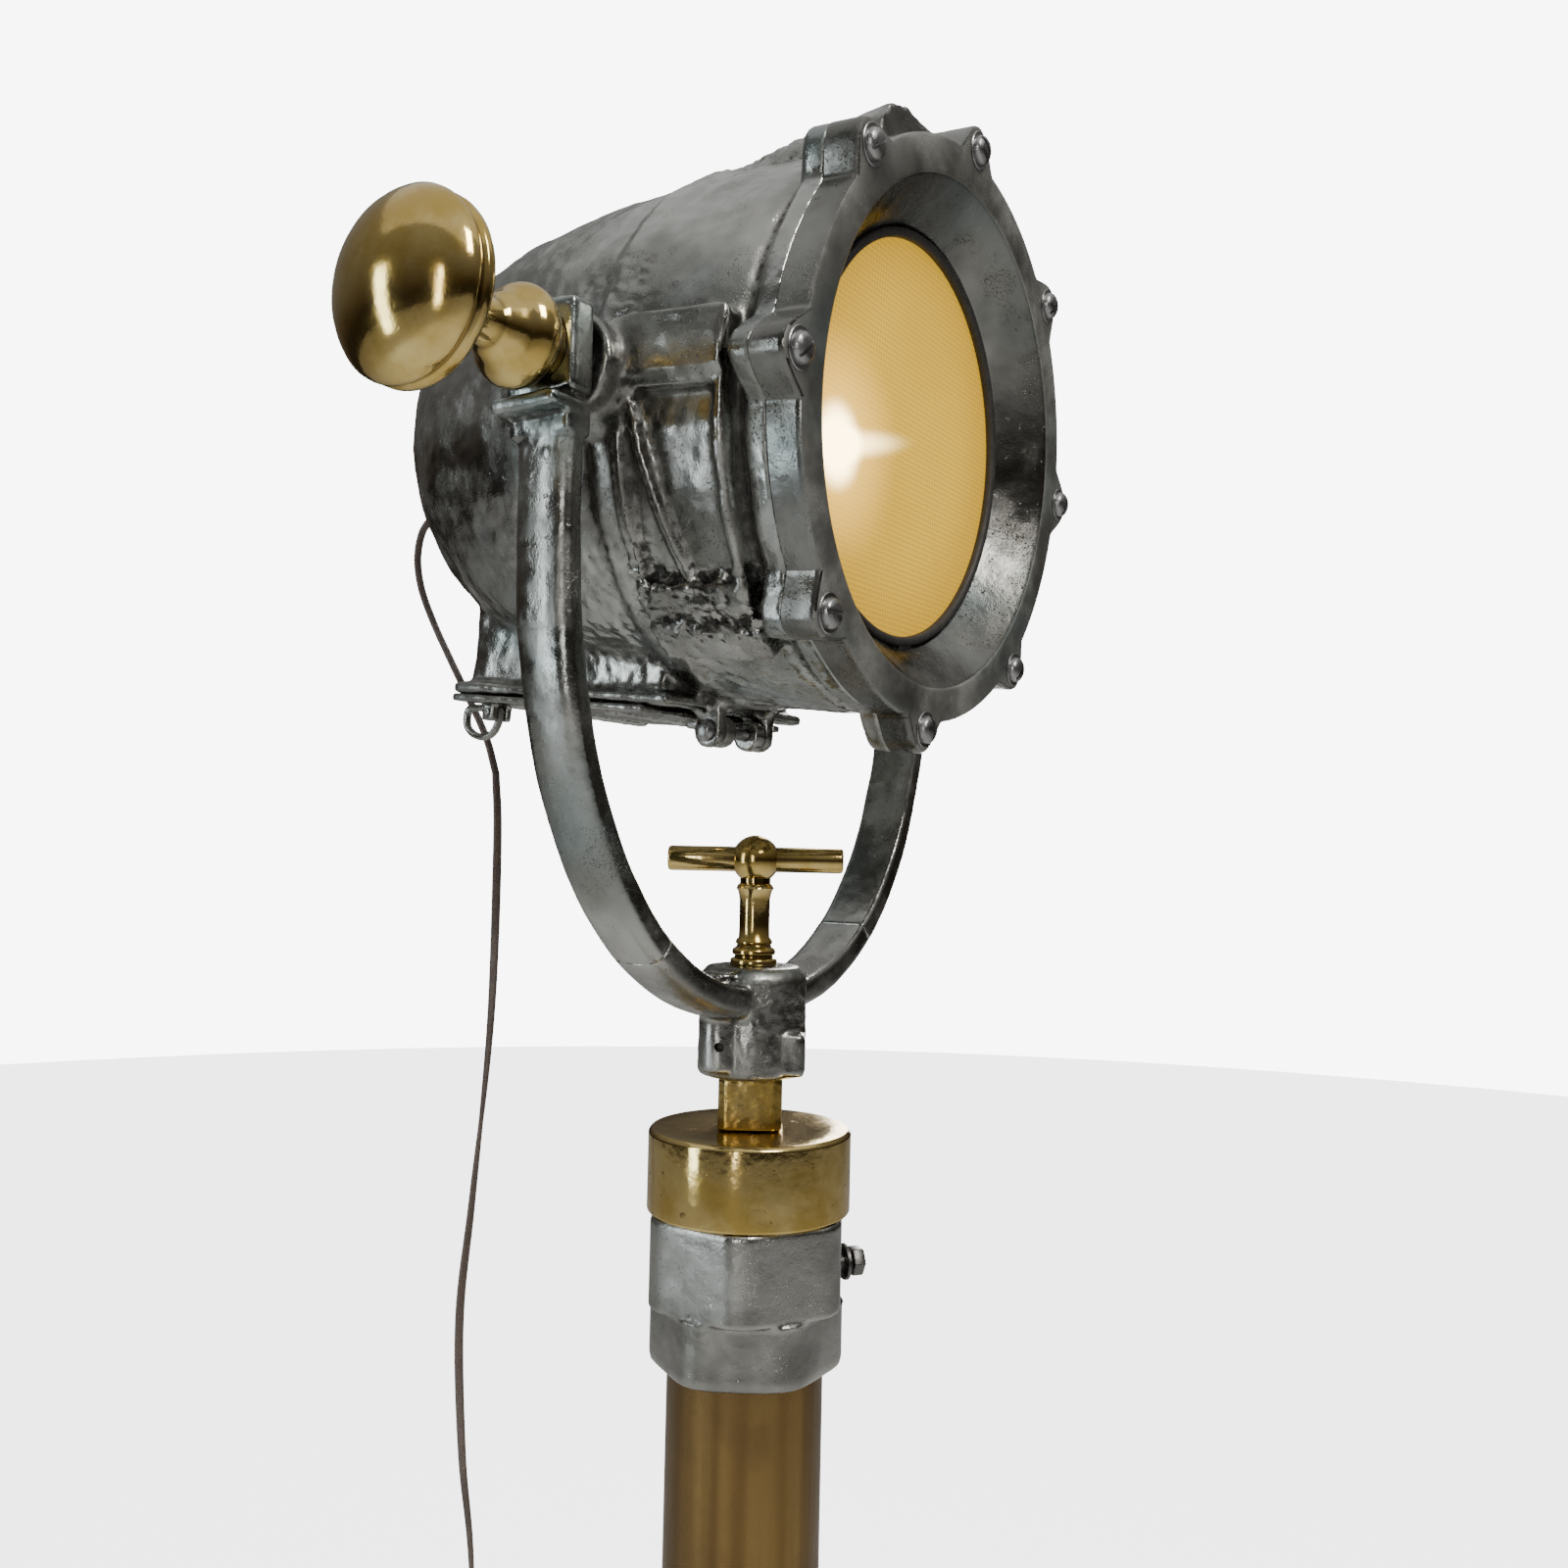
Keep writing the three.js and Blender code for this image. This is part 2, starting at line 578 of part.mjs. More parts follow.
function makeHub() {
  const core = turnedZ([[0, hubBottomZ], [46, hubBottomZ], [51, hubBottomZ + 5], [51, 640], [44, hubTopEdgeZ],
    [0, hubTopEdgeZ]], 20);
  const plates = [];
  const holes = [rod(columnR + gap, [0, 0, columnBottomZ - gap], [0, 0, hubTopEdgeZ + 1], 32)];
  for (let i = 0; i < legCount; i += 1) {
    for (const side of [-1, 1]) {
      const middle = side * (plateInner + plateOuter) / 2;
      const plate = join(box(legPivotR - 42, plateOuter - plateInner, 44, (legPivotR + 42) / 2, middle, legPivotZ),
        rod(22, [legPivotR, side * plateInner, legPivotZ], [legPivotR, side * plateOuter, legPivotZ], 14));
      plates.push(toGeometry(plate).rotateZ(legTurn(i)));
    }
    holes.push(rod(pinR + gap, [legPivotR, -30, legPivotZ], [legPivotR, 30, legPivotZ], pinSides).rotateZ(legTurn(i)));
  }
  return cut(join(core, ...plates), ...holes);
}

// Point on a leg's axis at a distance from its pivot, in the leg's own XZ plane
function along(distance) {
  return [legPivotR + distance * Math.sin(legLean), 0, legPivotZ - distance * Math.cos(legLean)];
}

function makeKnuckle() {
  const tongue = box(30, 16, 58, 0, 0, -29).rotateY(-legLean).translate(legPivotR, 0, legPivotZ);
  const form = join(rod(15, [legPivotR, -8, legPivotZ], [legPivotR, 8, legPivotZ]), tongue,
    rod(21, along(42), along(90), 16));
  return cut(form, rod(legTubeR + gap, along(56), along(91), 16),
    rod(pinR + gap, [legPivotR, -20, legPivotZ], [legPivotR, 20, legPivotZ], pinSides));
}

function makeLegTube() {
  const bore = rod(legTubeR - 2, along(50), along(legLength), 16);
  return cut(toSolid(rod(legTubeR, along(56.4), along(legLength - 40), 16)), bore);
}

function makeFoot() {
  const form = join(rod(20.5, along(legLength - 72), along(legLength - 6), 16),
    turnedZ([[0, padHigh + gap], [21, padHigh + gap], [21, padHigh + 9], [14, padHigh + 20], [0, padHigh + 20]], 16)
      .translate(footReach, 0, 0));
  return cut(form, rod(legTubeR + gap, along(legLength - 80), along(legLength - 39.7), 16),
    box(80, 80, 40, footReach, 0, padHigh + gap - 20));
}

function makePivotBolt() {
  return join(rod(pinR, [legPivotR, -24, legPivotZ], [legPivotR, 24, legPivotZ], pinSides),
    rod(9, [legPivotR, plateOuter + gap, legPivotZ], [legPivotR, plateOuter + 7, legPivotZ], 6),
    rod(9, [legPivotR, -plateOuter - 7, legPivotZ], [legPivotR, -plateOuter - gap, legPivotZ], 6));
}

function makePad() {
  return turnedZ([[0, 0], [23, 0], [24, 1.5], [22, padHigh], [0, padHigh]], 24).translate(footReach, 0, 0);
}

add(mast, 'tripod_hub', makeHub(), 'castAluminium');
for (let i = 0; i < legCount; i += 1) {
  const leg = new THREE.Group();
  leg.rotation.z = legTurn(i);
  mast.add(leg);
  add(leg, `pivot_bolt_${i + 1}`, makePivotBolt(), 'steel');
  add(leg, `leg_knuckle_${i + 1}`, makeKnuckle(), 'castAluminium');
  add(leg, `leg_tube_${i + 1}`, makeLegTube(), 'satinBrass');
  add(leg, `foot_socket_${i + 1}`, makeFoot(), 'castAluminium');
  add(leg, `foot_pad_${i + 1}`, makePad(), 'rubber');
}

// --- cord, its switch and its plug ---

function makeSwitchBody() {
  const outline = [...arcPoints(13, -90, 90, 6, [14, 0]), ...arcPoints(13, 90, 270, 6, [-14, 0])];
  return cut(toSolid(prismZ(outline, 0.4, 17)), box(16.6, 10.6, 14, 0, 0, 17));
}

function makePlug() {
  const body = rod(15, [0, 0, 15.2], [26, 0, 15.2], 20);
  const pins = [rod(2.4, [25, -9.5, 15.2], [45, -9.5, 15.2], 10), rod(2.4, [25, 9.5, 15.2], [45, 9.5, 15.2], 10)];
  return join(body, rod(11, [-12, 0, 15.2], [1, 0, 15.2], 16), ...pins);
}

add(mast, 'cord_loop', tube(loopPoints, cordR, cordSides, 20), 'flex');
add(mast, 'cord_drop', tube(dropPoints, cordR, cordSides, 28), 'flex');
add(mast, 'cord_floor', tube(floorPoints, cordR, cordSides, 18), 'flex');
add(mast, 'cord_lead', tube(leadPoints, cordR, cordSides, 12), 'flex');
const coilSection = ring([[coilR - coilWide / 2, 0.4], [coilR + coilWide / 2, 0.4],
  [coilR + coilWide / 2, coilHigh], [coilR - coilWide / 2, coilHigh]]);
add(mast, 'cord_coil', turnedZ(coilSection, 24).translate(...coilCentre, 0), 'flex');
const inlineSwitch = new THREE.Group();
inlineSwitch.position.set(...switchCentre, 0);
inlineSwitch.rotation.z = THREE.MathUtils.degToRad(123);
mast.add(inlineSwitch);
add(inlineSwitch, 'cord_switch', makeSwitchBody(), 'plastic');
add(inlineSwitch, 'switch_button', box(16, 10, 7, 0, 0, 15.6), 'plastic');
const plug = add(mast, 'mains_plug', makePlug(), 'plastic');
plug.position.set(62, 352, 0);

export default lamp;
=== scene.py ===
import math
import bmesh
import bpy
from mathutils import Matrix, Vector, noise


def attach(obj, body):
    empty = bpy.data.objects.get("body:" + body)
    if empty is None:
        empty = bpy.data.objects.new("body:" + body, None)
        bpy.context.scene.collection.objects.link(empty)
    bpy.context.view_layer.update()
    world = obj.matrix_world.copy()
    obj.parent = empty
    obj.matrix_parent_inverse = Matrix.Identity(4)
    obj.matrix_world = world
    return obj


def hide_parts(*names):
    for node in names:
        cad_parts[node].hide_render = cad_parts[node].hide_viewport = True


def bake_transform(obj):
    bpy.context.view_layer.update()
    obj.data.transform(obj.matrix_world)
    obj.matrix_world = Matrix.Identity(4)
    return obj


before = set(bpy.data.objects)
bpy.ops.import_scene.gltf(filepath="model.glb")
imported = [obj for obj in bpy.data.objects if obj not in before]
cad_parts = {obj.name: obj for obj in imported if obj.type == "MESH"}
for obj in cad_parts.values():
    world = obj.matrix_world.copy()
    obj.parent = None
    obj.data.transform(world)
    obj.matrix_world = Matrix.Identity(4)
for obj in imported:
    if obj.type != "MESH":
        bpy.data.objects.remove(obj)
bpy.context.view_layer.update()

# Searchlight floor lamp. Shapes are made in millimetres in a local frame and put in place at the end.
standing = {"mastY": 0.105, "pivotZ": 1.6, "restTilt": 4.9, "boltTurn": -37.7, "boltZ": 1194,
            "handleTurn": -57.7, "neckTurn": 32.3, "switchTurn": 123.0, "switchAt": (-29, 295),
            "plugAt": (62, 352)}
millimetres = Matrix.Scale(0.001, 4)
mastPlace = Matrix.Translation((0, standing["mastY"], 0)) @ millimetres
forkPlace = Matrix.Translation((0, standing["mastY"], standing["pivotZ"])) @ millimetres
headPlace = (Matrix.Translation((0, standing["mastY"], standing["pivotZ"]))
             @ Matrix.Rotation(math.radians(standing["restTilt"]), 4, "X") @ millimetres)


# camera

# metres, degrees and millimetres of lens
viewpoint = {"place": (-0.5697, -0.2708, 1.4018), "heading": 32.3, "pitch": 2.6, "roll": 1.2, "lens": 31.5,
             "sensor": 36}


def makeCamera():
    heading, pitch, roll = (math.radians(viewpoint[k]) for k in ("heading", "pitch", "roll"))
    level = Vector((math.sin(heading), -math.cos(heading), 0))
    forward = Vector((math.cos(heading) * math.cos(pitch), math.sin(heading) * math.cos(pitch),
                      math.sin(pitch)))
    upright = level.cross(forward)
    right = level * math.cos(roll) + upright * math.sin(roll)
    up = upright * math.cos(roll) - level * math.sin(roll)
    turn = Matrix((right, up, -forward)).transposed().to_4x4()
    data = bpy.data.cameras.new("camera")
    data.lens = viewpoint["lens"]
    data.sensor_width = viewpoint["sensor"]
    data.clip_start = 0.02
    camera = bpy.data.objects.new("camera", data)
    camera.matrix_world = Matrix.Translation(viewpoint["place"]) @ turn
    bpy.context.scene.collection.objects.link(camera)
    bpy.context.scene.camera = camera


makeCamera()
print("camera placed")


# meshes from plain lists of points and faces

def makeObject(name, verts, faces):
    mesh = bpy.data.meshes.new(name)
    mesh.from_pydata([tuple(v) for v in verts], [], faces)
    form = bmesh.new()
    form.from_mesh(mesh)
    bmesh.ops.remove_doubles(form, verts=form.verts, dist=1e-4)
    bmesh.ops.recalc_face_normals(form, faces=form.faces)
    form.to_mesh(mesh)
    form.free()
    made = bpy.data.objects.new(name, mesh)
    bpy.context.scene.collection.objects.link(made)
    return made


def bake(piece):
    # the evaluated mesh takes the place of the mesh and its modifiers
    graph = bpy.context.evaluated_depsgraph_get()
    fresh = bpy.data.meshes.new_from_object(piece.evaluated_get(graph))
    piece.modifiers.clear()
    piece.data = fresh
    return piece


def combine(piece, others, operation):
    for other in others:
        joined = piece.modifiers.new("combine", "BOOLEAN")
        joined.operation = operation
        joined.solver = "MANIFOLD"
        joined.object = other
    bake(piece)
    for other in others:
        bpy.data.objects.remove(other)
    return piece


def unite(piece, *others):
    return combine(piece, others, "UNION")


def carve(piece, *others):
    return combine(piece, others, "DIFFERENCE")


def smoothLine(points, step):
    # smooth curve through points, sampled about every step
    line = [Vector(p) for p in points]
    ends = [line[0] * 2 - line[1]] + line + [line[-1] * 2 - line[-2]]
    made = []
    for a, b, c, d in zip(ends, ends[1:], ends[2:], ends[3:]):
        count = max(2, round((c - b).length / step))
        for i in range(count):
            t = i / count
            made.append(0.5 * (2 * b + (c - a) * t + (2 * a - 5 * b + 4 * c - d) * t * t
                               + (3 * b - a - 3 * c + d) * t ** 3))
    return made + [line[-1]]


def eased(profile, radius, steps=4):
    # rounds the corners of an open profile
    points = [Vector(p) for p in profile]
    made = [points[0]]
    for before, corner, after in zip(points, points[1:], points[2:]):
        reach = min(radius, (before - corner).length * 0.45, (after - corner).length * 0.45)
        start = corner + (before - corner).normalized() * reach
        end = corner + (after - corner).normalized() * reach
        for i in range(steps + 1):
            t = i / steps
            made.append(start * (1 - t) ** 2 + corner * 2 * t * (1 - t) + end * t * t)
    return made + [points[-1]]


def turned(name, profile, axis="Z", sides=96, closed=False):
    # turned shape from [radius, height] points round an axis
    rings = [(p[0], p[1]) for p in profile]
    verts, faces, starts = [], [], []
    for r, h in rings:
        starts.append(len(verts))
        count = 1 if r < 1e-6 else sides
        for i in range(count):
            a = 2 * math.pi * i / sides
            x, y = r * math.cos(a), r * math.sin(a)
            verts.append({"Z": (x, y, h), "Y": (x, h, y), "X": (h, x, y)}[axis])
    pairs = list(zip(range(len(rings)), range(1, len(rings))))
    if closed:
        pairs.append((len(rings) - 1, 0))
    for a, b in pairs:
        for i in range(sides):
            j = (i + 1) % sides
            lower = [starts[a]] if rings[a][0] < 1e-6 else [starts[a] + i, starts[a] + j]
            upper = [starts[b]] if rings[b][0] < 1e-6 else [starts[b] + j, starts[b] + i]
            if len(lower) + len(upper) > 2:
                faces.append(lower + upper)
    return makeObject(name, verts, faces)


def rod(name, radius, start, end, sides=32, edge=0.0):
    start, end = Vector(start), Vector(end)
    long = (end - start).length
    profile = [(0, 0), (radius, 0), (radius, long), (0, long)]
    made = turned(name, eased(profile, edge, 3) if edge else profile, sides=sides)
    turn = Vector((0, 0, 1)).rotation_difference(end - start).to_matrix().to_4x4()
    made.data.transform(Matrix.Translation(start) @ turn)
    return made


def block(name, size, centre, edge=1.5, segments=3):
    form = bmesh.new()
    bmesh.ops.create_cube(form, size=1, matrix=Matrix.Translation(centre) @ Matrix.Diagonal((*size, 1)))
    bmesh.ops.bevel(form, geom=form.edges[:], offset=edge, segments=segments, affect="EDGES", profile=0.5)
    mesh = bpy.data.meshes.new(name)
    form.to_mesh(mesh)
    form.free()
    made = bpy.data.objects.new(name, mesh)
    bpy.context.scene.collection.objects.link(made)
    return made


def lofted(name, rings, closed=False):
    # skin over rings that have the same number of points
    count = len(rings[0])
    verts = [p for ring in rings for p in ring]
    pairs = [(k, k + 1) for k in range(len(rings) - 1)] + ([(len(rings) - 1, 0)] if closed else [])
    faces = []
    for a, b in pairs:
        for i in range(count):
            j = (i + 1) % count
            faces.append((a * count + i, a * count + j, b * count + j, b * count + i))
    if not closed:
        faces.append(tuple(range(count))[::-1])
        faces.append(tuple((len(rings) - 1) * count + i for i in range(count)))
    return makeObject(name, verts, faces)


def swept(name, line, section, side=(0, 0, 1), twist=0.0, looped=False):
    # section of [out, across] points carried along a line, with across toward side at the start
    line = [Vector(p) for p in line]
    rings, across, gone = [], Vector(side), 0.0
    for k, point in enumerate(line):
        before = line[k - 1] if k or looped else line[0]
        after = line[(k + 1) % len(line)] if k + 1 < len(line) or looped else line[-1]
        ahead = (after - before).normalized()
        across = (across - ahead * across.dot(ahead)).normalized()
        out = across.cross(ahead)
        gone += (point - line[k - 1]).length if k else 0
        a = twist * gone
        u, v = out * math.cos(a) + across * math.sin(a), across * math.cos(a) - out * math.sin(a)
        rings.append([point + u * s[0] + v * s[1] for s in section])
    return lofted(name, rings, closed=looped)


def bevelled(piece, width, segments):
    bevel = piece.modifiers.new("bevel", "BEVEL")
    bevel.width, bevel.segments = width, segments
    return bake(piece)


def fused(piece, grain, softness):
    # joins what overlaps and rounds every edge
    fuse = piece.modifiers.new("fuse", "REMESH")
    fuse.mode = "VOXEL"
    fuse.voxel_size = grain
    soften = piece.modifiers.new("soften", "SMOOTH")
    soften.factor = 0.5
    soften.iterations = softness
    return bake(piece)


def cast(piece, grain, softness=4, rough=(), lump=0.25):
    # rounded as sand casting does it, with a slightly uneven skin
    fused(piece, grain, softness)
    normals = [Vector(v.normal) for v in piece.data.vertices]
    for vertex, normal in zip(piece.data.vertices, normals):
        spot = vertex.co
        push = lump * noise.noise(spot * 0.045) + 0.35 * lump * noise.noise(spot * 0.16)
        for centre, half, depth in rough:
            away = max(abs(spot[i] - centre[i]) / half[i] for i in range(3))
            if away < 1.25:
                share = min(1, (1.25 - away) / 0.35)
                push += share * depth * (noise.noise(spot * 0.21) + 0.7 * noise.noise(spot * 0.47))
        vertex.co = spot + normal * push
    return piece


allPieces = []


def place(piece, where, body, material, replaced=(), smooth=45):
    # sets the piece in the lamp's frame, in metres, and lets it ride on its body
    piece.data.transform(where)
    piece.data.materials.clear()
    piece.data.materials.append(material)
    if where.determinant() < 0:
        piece.data.flip_normals()
    for polygon in piece.data.polygons:
        polygon.use_smooth = True
    form = bmesh.new()
    form.from_mesh(piece.data)
    for edge in form.edges:
        if len(edge.link_faces) == 2 and edge.calc_face_angle(0) > math.radians(smooth):
            edge.smooth = False
    form.to_mesh(piece.data)
    form.free()
    if body:
        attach(piece, body)
    if replaced:
        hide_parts(*replaced)
    allPieces.append(piece.name)
    return piece


# materials

class Wire:
    # an output socket that arithmetic can be written on
    def __init__(self, look, socket):
        self.look = look
        self.socket = socket

    def maths(self, operation, first, second):
        return self.look.node("ShaderNodeMath", {"operation": operation}, {0: first, 1: second})

    def __add__(self, other):
        return self.maths("ADD", self, other)

    def __mul__(self, other):
        return self.maths("MULTIPLY", self, other)

    def __sub__(self, other):
        return self.maths("SUBTRACT", self, other)

    def __rsub__(self, other):
        return self.maths("SUBTRACT", other, self)

    __radd__ = __add__
    __rmul__ = __mul__

    def ramp(self, low, high, start=0.0, end=1.0):
        # smooth step from low to high
        return self.look.node("ShaderNodeMapRange", {"interpolation_type": "SMOOTHSTEP"},
                              {"Value": self, "From Min": low, "From Max": high, "To Min": start, "To Max": end})


class Look:
    def __init__(self, name):
        self.material = bpy.data.materials.new(name)
        self.material.use_nodes = True
        self.tree = self.material.node_tree
        self.tree.nodes.clear()
        self.place = self.node("ShaderNodeTexCoord", {}, {}, "Object")

    def node(self, kind, settings, inputs, output=0):
        made = self.tree.nodes.new(kind)
        for key, value in settings.items():
            setattr(made, key, value)
        for key, value in inputs.items():
            if isinstance(value, Wire):
                self.tree.links.new(value.socket, made.inputs[key])
            else:
                made.inputs[key].default_value = value
        return Wire(self, made.outputs[output])

    def noise(self, size, detail, roughness, stretch=(1, 1, 1), seed=0.0):
        # size is the width of one patch in metres
        spot = self.node("ShaderNodeMapping", {}, {"Vector": self.place, "Scale": stretch,
                                                   "Location": (seed, seed * 0.7, -seed)})
        return self.node("ShaderNodeTexNoise", {}, {"Vector": spot, "Scale": 1 / size, "Detail": detail,
                                                    "Roughness": roughness})

    def mix(self, share, first, second):
        return self.node("ShaderNodeMix", {"data_type": "RGBA"}, {0: share, 6: first, 7: second}, 2)

    def bump(self, height, distance, strength=1.0, after=None):
        inputs = {"Height": height, "Distance": distance, "Strength": strength}
        if after:
            inputs["Normal"] = after
        return self.node("ShaderNodeBump", {}, inputs)

    def principled(self, inputs):
        return self.node("ShaderNodeBsdfPrincipled", {}, inputs)

    def cover(self, shader):
        out = self.tree.nodes.new("ShaderNodeOutputMaterial")
        self.tree.links.new(shader.socket, out.inputs["Surface"])
        return self.material

    def finish(self, inputs):
        return self.cover(self.principled(inputs))


def colour(r, g, b):
    return (r, g, b, 1.0)


# the darkest colour is used both for dirt and for painted shade in recesses
castLook = {"bright": (0.40, 0.40, 0.38), "grey": (0.22, 0.22, 0.205), "grimeAndShade": (0.022, 0.02, 0.017),
            "cool": (0.22, 0.27, 0.27), "shine": 0.17, "dull": 0.56, "pitSize": 0.0011}


# pits, dirt with painted shade in recesses, and waves scale those marks; satin dulls the metal and shade darkens
# it
def makeCastAluminium(name, pits=1.0, grimeAndShade=1.0, waves=1.0, seed=0.0, satin=0.0, shade=0.0):
    look = Look(name)
    broad = look.noise(0.055, 3, 0.6, seed=seed)
    patch = look.noise(0.026, 3, 0.6, seed=seed + 3.1)
    speck = look.noise(castLook["pitSize"], 2, 0.7, seed=seed)
    hollow = look.noise(0.0042, 3, 0.65, seed=seed + 7)
    pitted = patch.ramp(0.48, 0.66) * speck.ramp(0.56, 0.68) * pits
    scar = hollow.ramp(0.62, 0.74) * broad.ramp(0.45, 0.62) * pits
    # painted shade: the metal darkens where the surface is hollow (low pointiness), added to the real pits, scars
    # and broad dirt
    edge = look.node("ShaderNodeNewGeometry", {}, {}, "Pointiness")
    recessShade = edge.ramp(0.497, 0.455) * grimeAndShade
    dirtAndShade = (recessShade + pitted * 0.75 + scar * 0.55 + broad.ramp(0.56, 0.74) * 0.22 * grimeAndShade).ramp(0.0, 1.0)
    metal = look.mix(broad.ramp(0.35, 0.62), colour(*castLook["bright"]), colour(*castLook["grey"]))
    tinted = look.mix(look.noise(0.09, 2, 0.5, seed=seed + 11).ramp(0.5, 0.7, 0, 0.7), metal,
                      colour(*castLook["cool"]))
    base = look.mix(dirtAndShade * (0.92 - shade) + shade, tinted, colour(*castLook["grimeAndShade"]))
    rough = patch.ramp(0.35, 0.7, castLook["shine"] + satin, castLook["dull"] * 0.7 + satin) + dirtAndShade * 0.3
    wave = look.noise(0.017, 2, 0.5, seed=seed + 5)
    lumps = look.bump(wave, 0.0011 * waves, 0.8)
    grained = look.bump(speck * 0.35 + hollow * 0.65 - pitted - scar, 0.00035, 0.7, lumps)
    return look.finish({"Base Color": base, "Roughness": rough, "Metallic": 1.0 - dirtAndShade * 0.35,
                        "Normal": grained})


brassLook = {"gold": (0.50, 0.345, 0.095), "pale": (0.66, 0.50, 0.20), "tarnish": (0.12, 0.075, 0.025)}


def makeBrass(name, shine=0.09, tarnish=0.5, dents=1.0, seed=0.0):
    look = Look(name)
    cloud = look.noise(0.024, 4, 0.6, seed=seed)
    speck = look.noise(0.0014, 2, 0.7, seed=seed + 2)
    stain = look.noise(0.0065, 3, 0.6, seed=seed + 9)
    spots = (stain.ramp(0.64, 0.76) + speck.ramp(0.7, 0.78) * 0.6) * tarnish
    gold = look.mix(cloud.ramp(0.38, 0.66), colour(*brassLook["pale"]), colour(*brassLook["gold"]))
    edge = look.node("ShaderNodeNewGeometry", {}, {}, "Pointiness")
    aged = look.mix((spots + edge.ramp(0.498, 0.46) * 0.7).ramp(0, 1), gold, colour(*brassLook["tarnish"]))
    rough = cloud.ramp(0.3, 0.75, shine, shine + 0.12) + spots * 0.25
    dented = look.bump(look.noise(0.011, 2, 0.5, seed=seed + 4), 0.00045 * dents, 0.7)
    worn = look.bump(speck * 0.4 - spots, 0.00012, 0.6, dented)
    return look.finish({"Base Color": aged, "Roughness": rough, "Metallic": 1.0, "Normal": worn})


def makeSatinBrass(name, lean=0.0, turn=0.0):
    # drawn tube with long soft bands and fine lengthwise brushing
    look = Look(name)
    upright = (Matrix.Rotation(lean, 3, "Y") @ Matrix.Rotation(-turn, 3, "Z")).to_euler("XYZ")
    look.place = look.node("ShaderNodeMapping", {}, {"Vector": look.place, "Rotation": upright})
    band = look.noise(0.02, 2, 0.5, stretch=(1, 1, 0.02), seed=1.5)
    brush = look.noise(0.0009, 2, 0.6, stretch=(1, 1, 0.03))
    cloud = look.noise(0.07, 4, 0.6, seed=8)
    tone = look.mix(band.ramp(0.36, 0.64), colour(0.30, 0.195, 0.075), colour(0.15, 0.092, 0.036))
    aged = look.mix(cloud.ramp(0.45, 0.75, 0, 0.55), tone, colour(0.13, 0.085, 0.04))
    rough = brush.ramp(0.3, 0.7, 0.28, 0.42) + cloud.ramp(0.4, 0.8) * 0.1
    return look.finish({"Base Color": aged, "Roughness": rough, "Metallic": 1.0,
                        "Normal": look.bump(brush, 0.00008, 0.5)})


def makeSteel(name, tone=(0.30, 0.30, 0.30), dull=0.3):
    look = Look(name)
    cloud = look.noise(0.005, 3, 0.6)
    fine = look.noise(0.0006, 2, 0.6)
    # painted shade: the steel darkens toward near black where the surface is hollow (low pointiness), together
    # with random mottling from the cloud noise
    edge = look.node("ShaderNodeNewGeometry", {}, {}, "Pointiness")
    dark = (edge.ramp(0.498, 0.45) + cloud.ramp(0.55, 0.75) * 0.5).ramp(0, 1)
    base = look.mix(dark, colour(*tone), colour(0.05, 0.045, 0.04))
    return look.finish({"Base Color": base, "Roughness": cloud.ramp(0.3, 0.7, dull - 0.08, dull + 0.12),
                        "Metallic": 1.0, "Normal": look.bump(fine, 0.0001, 0.6)})


def makePlain(name, tone, shade, rough, size=0.004, grain=0.0002):
    # rubber, moulded plastic and ceramic: slight mottling and a fine skin
    look = Look(name)
    mottle = look.noise(size, 4, 0.6)
    dust = look.noise(size * 6, 3, 0.6, seed=2)
    base = look.mix(mottle.ramp(0.35, 0.7) * 0.6 + dust.ramp(0.5, 0.8) * 0.4, colour(*tone), colour(*shade))
    return look.finish({"Base Color": base, "Roughness": dust.ramp(0.3, 0.7, rough - 0.06, rough + 0.1),
                        "Normal": look.bump(mottle, grain, 0.6)})


# the emission colours are painted bulb light: a painted hot spot and glare streak left of centre, a painted halo
# round it, and painted light that dims toward the rim
glassLook = {"dimple": 0.0033, "paintedHotSpot": (-0.060, 1.577), "rise": 0.27, "middle": (0, 0.0263, 1.5933),
             "amber": (0.150, 0.097, 0.0085), "edge": (0.105, 0.062, 0.0045), "cloud": (0.122, 0.077, 0.0065),
             "hollow": (0.055, 0.033, 0.002), "paintedHalo": (0.42, 0.25, 0.045), "paintedGlare": (1.6, 1.25, 0.62)}


